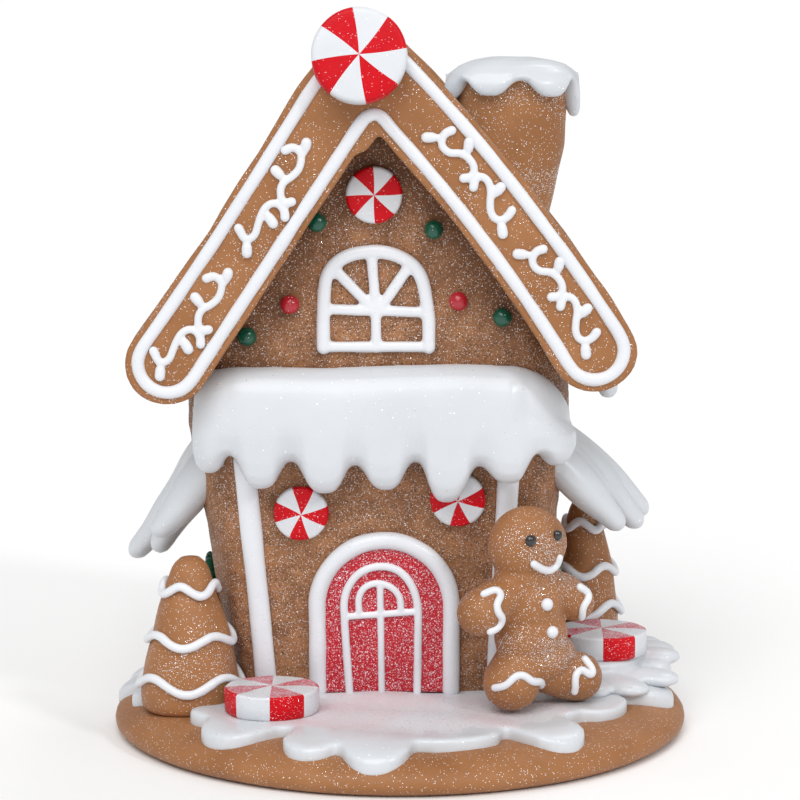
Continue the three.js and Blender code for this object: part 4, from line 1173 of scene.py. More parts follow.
def scalloped(places, drips, notches, turn=None):
    """Height of a dripping edge at each place: round drips (place, tip) with narrow notches between them."""
    spots = np.array([place for place, _ in drips], float)
    tips = np.array([tip for _, tip in drips], float)
    if turn is not None:
        spots = np.concatenate([[spots[-1] - turn], spots, [spots[0] + turn]])
        tips = np.concatenate([[tips[-1]], tips, [tips[0]]])
        notches = [notches[-1], *notches]
    middles = (spots[1:] + spots[:-1]) / 2
    left = np.concatenate([[spots[0] - (middles[0] - spots[0])], middles])
    right = np.concatenate([middles, [spots[-1] + (spots[-1] - middles[-1])]])
    tops_left = np.concatenate([[notches[0]], notches[: len(middles)]])
    tops_right = np.concatenate([notches[: len(middles)], [notches[-1]]])
    edge = np.full(len(places), max(notches))
    for spot, tip, start, end, from_top, to_top in zip(spots, tips, left, right, tops_left, tops_right):
        inside = (places >= start) & (places <= end)
        off = places[inside] - spot
        share_off = np.where(off < 0, off / (start - spot), off / (end - spot))
        rise = (1 - np.cos(math.pi * np.clip(np.abs(share_off) / 0.94, 0, 1) ** 1.6)) / 2
        edge[inside] = tip + (np.where(off < 0, from_top, to_top) - tip) * rise
    return edge


def oval(half, z, steps=48, squareness=0.78):
    middle = node_centre("chimney")
    angle = np.arange(steps) * 2 * math.pi / steps
    c, sn = np.cos(angle), np.sin(angle)
    x = np.sign(c) * np.abs(c) ** squareness * half[0]
    y = np.sign(sn) * np.abs(sn) ** squareness * half[1]
    return np.column_stack([middle[0] + x, middle[1] + y, np.full(steps, z)])


# Drips round the chimney's cap: bearing from the front in degrees and tip height. The edge between them is
# at the notch height.
CAP_DRIPS = [(-131, 201), (-70, 202), (-26, 203.2), (39, 203), (84, 196), (126, 200), (170, 199.5)]
CAP_NOTCH = 208.2


def make_chimney():
    """The flared chimney with its scalloped cap of snow."""
    house = bpy.context.scene.gingerbread_house
    low, high = node_box("chimney")
    half = (high - low)[:2] / 2
    rows = [
        (0.66, 0.74, low[2]), (0.71, 0.78, 166 * MM), (0.81, 0.85, 175 * MM), (0.94, 0.94, 187 * MM),
        (0.99, 1.0, 197 * MM), (1.0, 1.0, high[2] + 4 * MM)
    ]
    piece = knead(
        "chimney_dough", [loft([oval((half[0] * a, half[1] * b), z) for a, b, z in rows])], 1.0 * MM, 6, 0.7
    )
    swell(piece, house.dough.unevenness, 18 * MM, 14)
    finish_piece(piece, dough_material(), "gingerbread", "chimney")

    cap_low, cap_high = node_box("chimney_snow")
    reach = (cap_high - cap_low)[:2] / 2 + 0.4 * MM
    middle = node_centre("chimney")
    steps = 120
    ring = oval(reach, 0.0, steps)
    bearings = np.degrees(np.arctan2(ring[:, 0] - middle[0], middle[1] - ring[:, 1]))
    edge = scalloped(bearings, CAP_DRIPS, [CAP_NOTCH] * len(CAP_DRIPS), 360)
    rows = [
        (0.60, 0.0, 206.0), (0.80, 1.0, 2.0), (0.85, 1.0, 0.3), (0.915, 1.0, 0.0), (0.975, 1.0, 0.8),
        (1.0, 1.0, 2.6), (0.98, 0.6, 208.8), (0.91, 0.2, 211.0), (0.78, 0.0, 213.0), (0.58, 0.0, 214.5),
        (0.30, 0.0, 215.4),
    ]
    rings = []
    for share_out, hang, level in rows:
        rising = edge + level if hang == 1.0 else level + hang * (edge - CAP_NOTCH) * 0.3
        row = oval(reach * share_out, 0.0, steps)
        row[:, 2] = rising * MM
        rings.append(row)
    piece = knead("chimney_cap", [loft(rings)], 0.7 * MM, 5)
    swell(piece, 0.3 * MM, 14 * MM, 9)
    finish_piece(piece, snow_material(), "snow", "chimney_snow")


# ---------------------------------------------------------------- snow awnings

# Drips of the awnings: x and tip height in millimetres, and the heights of the notches between them.
FRONT_DRIPS = [
    (-61.5, 87.3), (-44, 83.2), (-23.6, 81.6), (-4.7, 82.7), (14.5, 78.9), (34.8, 84.8), (51.4, 89.2)
]
FRONT_NOTCHES = [93.5, 91.4, 90.3, 91.2, 90.2, 93.8]
BACK_DRIPS = [(-58, 88), (-41, 84), (-21, 85), (-1, 82.5), (18, 84.5), (36, 83.5), (51, 89)]
BACK_NOTCHES = [93.4, 92, 91, 91.5, 91, 93.4]
AWNING_ENDS = (-0.78, 0.87)
AWNING_OUT = 12.6
AWNING_BULGE = 97.5
# The lip of an awning: (share of the way from tip to bulge, share of the reach).
AWNING_LIP = [(0.0, 0.56), (0.03, 0.74), (0.12, 0.88), (0.30, 0.965), (0.60, 0.995)]
AWNING_TOP = 121.8
# Shares of the way along the wall between which an awning thins out towards its ends.
AWNING_FADE = (0.62, 0.86)


def awning_lumps(drips, notches, back):
    """A blanket of snow that swells out from the wall, with a thick lip and a groove above each notch."""
    along = np.linspace(*AWNING_ENDS, 161)
    across = wall_point(along, 90 * MM, 8 * MM, back)[:, 0] / MM
    edges = scalloped(across, drips, notches)
    fade = np.clip((np.abs(along) - AWNING_FADE[0]) / (AWNING_FADE[1] - AWNING_FADE[0]), 0, 1)
    climb = np.sin(np.linspace(0, math.pi / 2, 13))[1:-1]
    rings = []
    for place, low, end in zip(along, edges, fade):
        sink = (11 if place > 0 else 6) * end**2.2 - 0.6 * math.sin(place * 5)
        out = AWNING_OUT * (1 - 0.42 * end**2)
        notched = np.clip((low - 85) / 7, 0, 1)
        section = [(-2.0, low + 5.0), (out * 0.22, low + 2.0)]
        for share_up, reach in AWNING_LIP:
            groove = 0.26 * notched * (1 - share_up) + 0.10 * notched
            section.append((out * (reach + 0.05 - groove), low + (AWNING_BULGE - low) * share_up))
        top = AWNING_TOP - sink
        narrow = (0.55 if place > 0 else 0.15) * end
        for rise in climb:
            groove = 0.10 * notched * max(0, 1 - rise * 3)
            reach = math.sqrt(1 - rise**4.5) * (1 - narrow * min(1, rise * 2.5)) - groove
            section.append((out * reach, AWNING_BULGE + (top - AWNING_BULGE) * rise))
        section.append((-2.0, top - 3.0))
        section = np.array(section) * MM
        rings.append(wall_point(place, section[:, 1], section[:, 0], back))
    return [loft(rings)]


def make_awnings():
    """The snow awnings over the door and at the back."""
    for name, node_name, drips, notches, back, cell in (
        ("front_awning", "awning_front", FRONT_DRIPS, FRONT_NOTCHES, False, 0.7 * MM),
        ("back_awning", "awning_back", BACK_DRIPS, BACK_NOTCHES, True, 1.0 * MM),
    ):
        piece = knead(name, awning_lumps(drips, notches, back), cell, 4, 0.8)
        swell(piece, 0.35 * MM, 22 * MM, 17)
        finish_piece(piece, snow_material(), "snow", node_name)


# Fingers of the side awnings from root to tip: (x, y, z) and half the width, in millimetres.
WING_FINGERS = {
    "left": [
        [
            (-55, -11, 95, 8), (-60, -12, 88, 8.4), (-65.5, -12, 80.5, 8.4), (-71, -11, 73, 7.2),
            (-75.5, -10, 67.5, 5.2)
        ],
        [(-56, 6, 95, 9), (-62, 6, 85, 9), (-68, 5.5, 75, 8), (-73.4, 5, 66, 6.2), (-77.4, 5, 59.6, 4.8)],
        [(-56, 25, 94, 9), (-65, 26, 83, 9), (-73, 27, 71, 8), (-80, 26, 61, 6.6), (-86.4, 26, 53.6, 5.4)],
    ],
    "right": [
        [(44, -12, 94, 8), (52, -12, 86.5, 8.4), (60, -12, 78, 7.6), (68, -11, 69.5, 5)],
        [(46, 1, 95, 8), (56, 2, 86.5, 8.4), (67, 3, 76.5, 7.2), (75.5, 3, 67.5, 4.8)],
        [(46, 14, 95, 8), (57, 14, 87.5, 8.4), (68, 15, 78.5, 7.4), (78, 15, 69, 4.8)],
        [(46, 28, 93, 8.5), (56, 27, 84, 8.6), (68, 27, 74, 7), (75.5, 28, 67.5, 4.6)],
    ],
}
WING_SLOPES = {"left": (-1, 56.0), "right": (1, 44.0)}


def make_wings():
    """The fans of snow that slope down from the side walls."""
    for word, (side, slope) in WING_SLOPES.items():
        tilt = math.radians(slope)
        up = np.array([side * math.sin(tilt), 0, math.cos(tilt)])
        paths = [spline(np.array(finger) * MM, 1.5 * MM) for finger in WING_FINGERS[word]]
        lumps = [rod(path[:, :3], path[:, 3], up=up, flat=0.78, sides=18) for path in paths]
        # Shorter fills between neighbours, so that the fingers part only near their tips.
        for first, second in zip(paths, paths[1:]):
            count = int(0.68 * min(len(first), len(second)))
            fill = (first[:count] + second[:count]) / 2
            lumps.append(
                rod(fill[:, :3], fill[:, 3] * np.linspace(1.06, 0.9, count), up=up, flat=0.78, sides=18)
            )
        piece = knead(f"side_awning_{word}", lumps, 0.8 * MM, 7)
        swell(piece, 0.3 * MM, 18 * MM, 23 + side)
        finish_piece(piece, snow_material(), "snow", f"awning_{word}")


# ---------------------------------------------------------------- door, window and strips


def on_front(x, z, out=0.0):
    """The place on the front wall at (x, z), turned so that -Y looks straight out of the wall."""
    lean = math.atan(FRONT_LEAN) if z < LEAN_TOP else 0.0
    return Matrix.Translation((x, float(front_y(z)) - out, z)) @ Matrix.Rotation(lean, 4, "X")


def front_line(spots, radius, out, spacing=1.0 * MM, flat=0.8, sides=14):
    """A line of icing over spots (x, z) in millimetres on the front wall."""
    line = spline(np.asarray(spots, float) * MM, spacing)
    path = np.column_stack([line[:, 0], front_y(line[:, 1]) - out, line[:, 1]])
    return rod(path, radius, flat=flat, sides=sides)


# Spots of the lines on the door and the attic window, (x, z) in millimetres.
DOOR_ARCH = [
    (-16.1, 15.0), (-16.8, 25.4), (-17.6, 39.2), (-17.6, 46.0), (-15.9, 51.0), (-12.4, 55.0), (-7.1, 56.9),
    (-1.9, 56.2), (2.0, 53.2), (4.6, 48.3), (5.7, 42.4), (5.7, 32.3), (5.5, 15.0)
]
DOOR_SMALL_ARCH = [
    (-13.0, 41.6), (-13.0, 46.6), (-11.1, 50.0), (-7.1, 51.4), (-2.8, 50.0), (-0.2, 46.8), (0.3, 42.4)
]
DOOR_BARS = [[(-17.2, 40.3), (5.2, 42.0)], [(-6.3, 50.6), (-5.8, 15.0)]]
WINDOW_ARCH = [
    (-23.8, 127.0), (-23.8, 135.3), (-23.5, 143.6), (-22.8, 149.1), (-20.3, 153.0), (-15.3, 155.9),
    (-8.7, 156.9), (-2.5, 156.2), (2.9, 153.6), (6.0, 150.0), (7.5, 145.7), (8.3, 140.4), (8.9, 135.3),
    (9.0, 127.0)
]
WINDOW_BARS = [
    [(-23.8, 139.0), (8.4, 138.0)], [(-8.9, 156.5), (-7.6, 139.0), (-7.3, 127.0)],
    [(-19.6, 150.6), (-9.0, 139.8)], [(2.4, 151.8), (-5.8, 139.8)], [(-23.8, 127.2), (9.0, 127.2)]
]


def make_door():
    """The sugared red door, its thick icing frame and the lines on it."""
    house = bpy.context.scene.gingerbread_house
    low, high = node_box("door_frame")
    middle = (low[0] + high[0]) / 2
    half = (high[0] - low[0]) / 2
    ring = 2.8 * MM
    reach = half - ring
    spring = high[2] - half
    arch = [
        (middle + reach * math.cos(a), spring + reach * math.sin(a)) for a in np.linspace(0, math.pi, 25)
    ]
    line = [(middle + reach, low[2] + 1.0 * MM), (middle + reach, low[2] + 15 * MM), *arch]
    line += [(middle - reach, low[2] + 15 * MM), (middle - reach, low[2] + 1.0 * MM)]
    lump = front_line(np.array(line) / MM, ring, 1.6 * MM, flat=0.95, sides=20)
    piece = new_piece("door_arch", lump)
    swell(piece, 0.14 * MM, 12 * MM, 41)
    finish_piece(piece, piping_material(), "icing", "door_frame")

    inner = reach - 1.2 * MM
    outline = [
        (middle + inner * math.cos(a), spring + inner * math.sin(a)) for a in np.linspace(0, math.pi, 33)
    ]
    outline += [(middle - inner, low[2] + 0.2 * MM), (middle + inner, low[2] + 0.2 * MM)]
    piece = knead("sugared_door", [prism(np.array(outline), -2.4 * MM, 1.5 * MM, 1)], 0.7 * MM, 3)
    points = points_of(piece)
    points[:, 1] += front_y(points[:, 2])
    set_points(piece, points)
    swell(piece, 0.12 * MM, 6 * MM, 43)
    finish_piece(piece, door_material(), "red_sugar", "door_panel")

    wide = house.icing.door_line
    lumps = [front_line(DOOR_ARCH, wide * 1.15, 2.5 * MM), front_line(DOOR_SMALL_ARCH, wide, 2.5 * MM)]
    lumps += [front_line(bar, wide, 2.5 * MM) for bar in DOOR_BARS]
    piece = knead("door_lines", lumps, 0.36 * MM, 3, 0.8)
    finish_piece(piece, piping_material(), "icing", "door_icing")


def make_window():
    """The attic window of piped bars."""
    house = bpy.context.scene.gingerbread_house
    bar = house.icing.window_line
    lumps = [front_line(WINDOW_ARCH, bar * 1.25, 1.0 * MM)]
    lumps += [front_line(spots, bar, 0.9 * MM) for spots in WINDOW_BARS]
    piece = knead("attic_window_bars", lumps, 0.5 * MM, 4)
    swell(piece, 0.10 * MM, 9 * MM, 44)
    finish_piece(piece, piping_material(), "icing", "attic_window")


def make_strips():
    """The flat icing strips down the front corners."""
    for side, word in ((-1, "left"), (1, "right")):
        low, high = node_box(f"corner_strip_{word}")
        half = 3.4 * MM
        levels = np.linspace(low[2] + half, high[2], 40)
        edge = wall_middle(levels) - 0.8 * MM + side * (np.interp(levels, WALL_LEVELS, WALL_FLAT) - 0.9 * MM)
        path = np.column_stack([edge - side * half, front_y(levels) - 0.6 * MM, levels])
        piece = new_piece(f"corner_icing_{word}", rod(path, half, flat=0.62, sides=20))
        swell(piece, 0.12 * MM, 16 * MM, 45 + side)
        finish_piece(piece, piping_material(), "icing", f"corner_strip_{word}")


# ---------------------------------------------------------------- sweets and pearls

COLUMNS_A_WEDGE = 12
RED, WHITE, FROSTED = 0, 1, 2


def sweet(name, cad_node, radius, thick, place, turn, frosted=False, edge=1.1 * MM, swirl=-5.0):
    """A round sweet in red and white wedges, with its face towards its own -Y and a rounded rim."""
    wedges = bpy.context.scene.gingerbread_house.sweets.wedges
    columns = wedges * COLUMNS_A_WEDGE
    flat = radius - edge
    rows = [(flat * share, -thick + 0.35 * MM * share**2) for share in np.linspace(0, 1, 11)[1:]]
    face_rows = len(rows)
    rows += [
        (flat + edge * math.sin(a), -thick + 0.35 * MM + edge * (1 - math.cos(a)))
        for a in np.radians([22, 45, 68, 90])
    ]
    rows += [(radius, -thick * 0.5), (radius, -edge), (flat, 0.0), (flat * 0.5, 0.0)]
    points, faces, looks = [(0, -thick, 0)], [], []
    for r, y in rows:
        angle = np.radians(turn + swirl * r / radius + np.arange(columns) * 360 / columns)
        points += list(zip(r * np.sin(angle), np.full(columns, y), r * np.cos(angle)))
    points.append((0, 0, 0))
    last = len(points) - 1

    def look(row, column):
        if (column // COLUMNS_A_WEDGE) % 2 == 0:
            return WHITE
        return FROSTED if frosted and row < face_rows - 1 else RED

    for i in range(columns):
        j = (i + 1) % columns
        faces.append((0, 1 + i, 1 + j))
        looks.append(look(0, i))
        for row in range(len(rows) - 1):
            here, there = 1 + row * columns, 1 + (row + 1) * columns
            faces.append((here + i, there + i, there + j, here + j))
            looks.append(look(row, i))
        end = 1 + (len(rows) - 1) * columns
        faces.append((end + i, last, end + j))
        looks.append(look(len(rows), i))
    piece = new_piece(name, moved((np.array(points), faces), place))
    finish_piece(piece, [red_material(), white_material(), frosted_sweet_material()], "peppermint", cad_node)
    piece.data.polygons.foreach_set("material_index", looks)
    swell(piece, 0.10 * MM, 8 * MM, 50 + len(name))
    return piece


def make_sweets():
    """The six peppermint sweets."""
    low, high = node_box("candy_top")
    tilt = 0.16
    middle = (low + high) / 2
    rest = Matrix.Translation((middle[0] + 0.4 * MM, band_low[1] - 0.4 * MM, middle[2] - 0.4 * MM))
    sweet(
        "ridge_sweet", "candy_top", 14.4 * MM, 8 * MM, rest @ Matrix.Rotation(-tilt, 4, "X"), -3,
        edge=1.5 * MM
    )
    for name, cad_node, thick, turn in (
        ("gable_sweet", "candy_gable", 4.6, 3), ("wall_sweet_left", "candy_wall_left", 4.0, 32),
        ("wall_sweet_right", "candy_wall_right", 4.0, 22)
    ):
        low, high = node_box(cad_node)
        middle, radius = (low + high) / 2, (high[0] - low[0]) / 2
        sweet(name, cad_node, radius, thick * MM, on_front(middle[0], middle[2], -0.3 * MM), turn)
    for word, turn in (("left", 0), ("right", 2)):
        low, high = node_box(f"candy_ground_{word}")
        middle = (low + high) / 2
        place = Matrix.Translation((middle[0], middle[1], low[2])) @ Matrix.Rotation(-math.pi / 2, 4, "X")
        sweet(
            f"ground_sweet_{word}", f"candy_ground_{word}", 14.8 * MM, 8 * MM, place, turn, frosted=True,
            edge=0.8 * MM, swirl=0
        )


PEARLS = (
    "green_upper_left", "green_upper_right", "red_left", "red_right", "green_lower_left", "green_lower_right"
)


def make_pearls():
    """The red and green sugar pearls on the gable."""
    for i, word in enumerate(PEARLS):
        middle = node_centre(f"pearl_{word}")
        spot = (middle[0], float(front_y(middle[2])) - 1.8 * MM, middle[2])
        piece = new_piece(
            f"sugar_pearl_{word}", ball(spot, np.array([3.0, 2.9, 3.0]) * MM, rows=20, columns=32)
        )
        swell(piece, 0.10 * MM, 4 * MM, 60 + i)
        red = "red" in word
        look = red_pearl_material() if red else green_pearl_material()
        finish_piece(piece, look, "red_sugar" if red else "green_sugar", f"pearl_{word}")


# ---------------------------------------------------------------- trees

# Tree outline from the foot up: share of the foot radius, share of the height.
TREE_OUTLINE = np.array(
    [
        [0.90, 0.0], [0.97, 0.02], [1.0, 0.06], [1.0, 0.16], [0.87, 0.40], [0.62, 0.68], [0.45, 0.86],
        [0.34, 0.94], [0.20, 0.985]
    ]
)
TREE_STEPS = 96
TREE_LEVELS = {"low": 0.20, "middle": 0.48, "high": 0.80}
# Where each wavy line dips, as a bearing from the front in degrees, and how deep its waves are.
TREE_WAVES = {"low": (0, 2.1 * MM), "middle": (-6, 1.6 * MM), "high": (28, 1.5 * MM)}


def make_trees():
    """The two gingerbread trees with their wavy icing."""
    house = bpy.context.scene.gingerbread_house
    for side, word in ((-1, "left"), (1, "right")):
        low, high = node_box(f"tree_{word}")
        foot = np.array([(low[0] + high[0]) / 2 + 0.6 * MM, (low[1] + high[1]) / 2, low[2]])
        radius, height = (high[0] - low[0]) / 2, high[2] - low[2] + 0.8 * MM
        fine = spline(TREE_OUTLINE, 0.03)
        profile = [(0, 0), *[(radius * a, height * b) for a, b in fine], (0, height)]
        lump = moved(lathe(profile, 56), Matrix.Translation(foot))
        piece = new_piece(f"dough_tree_{word}", lump)
        swell(piece, house.dough.unevenness, 15 * MM, 70 + side)
        finish_piece(piece, dough_material(), "gingerbread", f"tree_{word}")
        for index, (level_word, level) in enumerate(TREE_LEVELS.items()):
            angle = np.arange(TREE_STEPS) * 2 * math.pi / TREE_STEPS
            trough, depth = TREE_WAVES[level_word]
            share_up = level - depth / height * np.cos(4 * (angle + math.pi / 2 - math.radians(trough)))
            reach = radius * np.interp(share_up, TREE_OUTLINE[:, 1], TREE_OUTLINE[:, 0]) + 0.8 * MM
            out = np.column_stack([np.cos(angle), np.sin(angle), np.full(TREE_STEPS, 0.3)])
            path = foot + np.column_stack([reach * np.cos(angle), reach * np.sin(angle), share_up * height])
            piece = new_piece(
                f"tree_line_{word}_{level_word}",
                rod(path, 1.4 * MM, up=out, flat=0.9, sides=12, closed=True)
            )
            swell(piece, 0.10 * MM, 5 * MM, 73 + index)
            finish_piece(piece, piping_material(), "icing", f"tree_{word}_icing_{level_word}")


# ---------------------------------------------------------------- gingerbread man


# Where the man stands, how far it is turned, how far it leans and how much the lean lifts it.
MAN_SPOT = (45.2 * MM, -37.6 * MM, SNOW_TOP)
MAN_TURN = 0.576
MAN_LEAN = -0.1
MAN_LIFT = 20 * abs(MAN_LEAN) * MM
# Its head, neck, chest, belly and hips in its own frame in millimetres: middle and half sizes of a ball.
MAN_BODY = [
    ((-1.8, 0, 50.9), (13.1, 10.5, 12.0)),
    ((-2.6, 0.3, 42.0), (11.2, 8.2, 9.5)),
    ((-3.0, 0, 32.0), (12.0, 9.2, 12.0)),
    ((-3.0, 0, 22.0), (12.4, 9.6, 11.5)),
    ((-1.4, 0, 14.0), (13.6, 9.4, 8.5)),
]
# Its arms and legs: spots from the body outwards, radius at the body, radius of the hand or foot, sides.
MAN_LIMBS = [
    ([(-6, 0, 37), (-14, -0.4, 35.6), (-22, -0.8, 33.4)], 6.8, 7.2, 20),
    ([(3, 0, 36), (9, -0.4, 33), (14, -0.8, 29)], 6.8, 6.4, 20),
    ([(-7, 0, 16), (-10, -0.3, 11.8), (-12.2, -0.8, 8.8)], 7.6, 9.0, 24),
    ([(2.5, 0, 9), (8, -0.3, 6.6), (12.6, -0.8, 4.8)], 7.6, 8.1, 24),
]
# Lines on the man, (x, z) in its own frame in millimetres.
MAN_LINES = {
    "man_smile": [(-6.4, 47.1), (-3.3, 44.8), (0.4, 43.4), (3.1, 44.4), (3.8, 46.7)],
    "man_cuff_left": [
        (-22, 40), (-18, 40.6), (-17.2, 39.2), (-19.8, 37), (-20, 34.4), (-18.4, 32), (-19.4, 29.4),
        (-22.3, 28.6)
    ],
    "man_cuff_right": [(12.6, 35), (15.6, 32), (12.6, 28.7), (13, 25)],
    "man_ankle_left": [
        (-20.6, 9.6), (-18.5, 10.6), (-15.6, 13), (-12.9, 12.8), (-10.5, 10.5), (-6.2, 8.9), (-3.8, 6.6)
    ],
    "man_ankle_right": [(6.8, 2.6), (6.9, 7.6), (9.6, 9.2), (12, 7.1), (13.8, 7.6), (12.8, 11.4)],
}
MAN_EYES = {"left": (-6.7, 54.5, 1.85), "right": (3.3, 54.2, 1.7)}
MAN_BUTTONS = {"upper": (-2.5, 33.3, 2.0), "lower": (-1.4, 24.2, 1.95)}


def man_place():
    """From the man's own frame, standing at 0 and looking towards -Y, to the house."""
    stand = Matrix.Translation(MAN_SPOT) @ Matrix.Rotation(MAN_TURN, 4, "Z")
    return stand @ Matrix.Translation((0, 0, MAN_LIFT)) @ Matrix.Rotation(MAN_LEAN, 4, "Y")


def make_man():
    """The gingerbread man with bead eyes, a smile, buttons and wavy cuffs."""
    place = man_place()
    body = [ball(np.array(middle) * MM, np.array(half) * MM) for middle, half in MAN_BODY]
    for spots, root, tip, sides in MAN_LIMBS:
        line = spline(np.array(spots) * MM, 1.5 * MM)
        body.append(rod(line, np.linspace(root, tip, len(line)) * MM, sides=sides))
    piece = knead("gingerbread_man_dough", [moved(lump, place) for lump in body], 0.6 * MM, 9, 0.8)
    swell(piece, 0.16 * MM, 9 * MM, 80)
    points = points_of(piece)
    points[:, 2] = np.maximum(points[:, 2], SNOW_TOP - 0.3 * MM)
    set_points(piece, points)
    finish_piece(piece, dough_material(), "gingerbread", "gingerbread_man")
    skin = surface_of(piece)

    out = np.array(place.to_3x3() @ Vector((0, -1, 0)))
    for name, spots in MAN_LINES.items():
        line = spline(np.array(spots) * MM, 0.6 * MM)
        path = np.array([seen_on(place, x, z, skin) for x, z in line]) + out * 0.35 * MM
        for _ in range(3):
            path[1:-1] = (path[:-2] + 2 * path[1:-1] + path[2:]) / 4
        sizes = np.full(len(path), 1.25 * MM)
        line_piece = new_piece(f"{name}_line", rod(path, sizes, up=out, flat=0.85, sides=12))
        finish_piece(line_piece, piping_material(), "icing", name)
    for kind, spots, look, slot in (
        ("eye", MAN_EYES, bead_material(), "black_bead"), ("button", MAN_BUTTONS, piping_material(), "icing")
    ):
        for word, (x, z, radius) in spots.items():
            spot = seen_on(place, x * MM, z * MM, skin) + out * 0.3 * MM
            lump = ball(spot, np.array([radius, radius * 0.8, radius]) * MM, place, rows=18, columns=28)
            bead = new_piece(f"man_{kind}_{word}_bead", lump)
            swell(bead, 0.04 * MM, 3 * MM, 82)
            finish_piece(bead, look, slot, f"man_{kind}_{word}")


# ---------------------------------------------------------------- wreaths


# The outer and the inner row of a wreath's leaves: reach and height in millimetres, tilt and turn.
WREATH_ROWS = ((9.6, 0.2, -0.7, 0.0), (7.4, 0.8, 0.7, 0.14))
LEAVES_A_ROW = 22
WREATH_REACH = 8.5 * MM


def make_wreaths():
    """The green sugar wreaths on the side walls."""
    for side, word in ((-1, "left"), (1, "right")):
        middle = node_centre(f"wreath_{word}")
        lean = side * math.atan(0.07)
        place = Matrix.Translation((middle[0] + side * 0.7 * MM, middle[1], middle[2]))
        place = place @ Matrix.Rotation(lean, 4, "Y")
        lumps = []
        for i in range(2 * LEAVES_A_ROW):
            a = i * 2 * math.pi / LEAVES_A_ROW
            reach, height, tilt, turn = WREATH_ROWS[i // LEAVES_A_ROW]
            leaf = Matrix.Rotation(tilt - a, 3, "X")
            across = reach * MM * math.cos(a + turn)
            spot = (side * height * MM, across, reach * MM * math.sin(a + turn))
            lumps.append(moved(ball(spot, np.array([1.5, 2.1, 1.1]) * MM, leaf, 8, 12), place))
        around = np.arange(40) * 2 * math.pi / 40
        ring = np.column_stack([np.zeros(40), WREATH_REACH * np.cos(around), WREATH_REACH * np.sin(around)])
        lumps.append(moved(rod(ring, 1.9 * MM, up=(1, 0, 0), sides=12, closed=True), place))
        piece = knead(f"sugar_wreath_{word}", lumps, 0.5 * MM, 1, 0.6)
        finish_piece(piece, green_pearl_material(), "green_sugar", f"wreath_{word}")


# ---------------------------------------------------------------- glitter


# A flake's lift off the skin and its thickness, as shares of its size.
FLAKE_LIFT = 0.25
FLAKE_THICKNESS = 0.12


def scatter(name, hosts, count, half, look, seed, keep=None, tilt=0.2):
    """Lays thin glitter flakes nearly flat on the hosts' skins; each host has a weight of its own."""
    rng = np.random.default_rng(seed)
    corners, loads = [], []
    for host, load in hosts.items():
        mesh = made(host).data
        mesh.calc_loop_triangles()
        index = np.empty(len(mesh.loop_triangles) * 3, np.int32)
        mesh.loop_triangles.foreach_get("vertices", index)
        corners.append(points_of(made(host))[index.reshape(-1, 3)])
        loads.append(np.full(len(corners[-1]), load, float))
    corners, loads = np.vstack(corners), np.concatenate(loads)
    cross = np.cross(corners[:, 1] - corners[:, 0], corners[:, 2] - corners[:, 0])
    area = np.linalg.norm(cross, axis=1) / 2
    weights = area * loads * (1 if keep is None else keep(corners.mean(axis=1)))
    picked = rng.choice(len(corners), count, p=weights / weights.sum())
    a, b = rng.random((2, count, 1))
    over = a + b > 1
    a, b = np.where(over, 1 - a, a), np.where(over, 1 - b, b)
    tri = corners[picked]
    spots = tri[:, 0] + a * (tri[:, 1] - tri[:, 0]) + b * (tri[:, 2] - tri[:, 0])
    normal = cross[picked] / (2 * area[picked, None])
    axis = normal + rng.normal(size=(count, 3)) * tilt
    axis /= np.linalg.norm(axis, axis=1)[:, None]
    along = np.cross(axis, rng.normal(size=(count, 3)))
    along /= np.linalg.norm(along, axis=1)[:, None]
    across = np.cross(axis, along)
    size = half * rng.uniform(0.5, 1.2, (count, 1))
    spots += normal * (size * FLAKE_LIFT)
    shape = [
        spots + along * size * math.cos(t) + across * size * math.sin(t) for t in np.radians([0, 120, 240])
    ]
    thick = size * FLAKE_THICKNESS
    shape += [spots + axis * thick, spots - axis * thick]
    points = np.stack(shape, axis=1).reshape(-1, 3)
    one = np.array([(0, 1, 3), (1, 2, 3), (2, 0, 3), (1, 0, 4), (2, 1, 4), (0, 2, 4)])
    faces = (np.arange(count)[:, None, None] * 5 + one).reshape(-1, 3)
    mesh = bpy.data.meshes.new(name)
    mesh.from_pydata(points.tolist(), [], faces.tolist())
    piece = bpy.data.objects.new(name, mesh)
    bpy.context.scene.collection.objects.link(piece)
    mesh.materials.append(look)
    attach(piece, BODY)
    return piece


def in_patches(points, size, seed, low=0.25, power=2):
    """Glitter lies in drifts: a value from low to 1 that changes slowly over the surface."""
    return low + (1 - low) * np.clip(0.5 + 0.6 * unevenness(points, size, seed), 0, 1) ** power


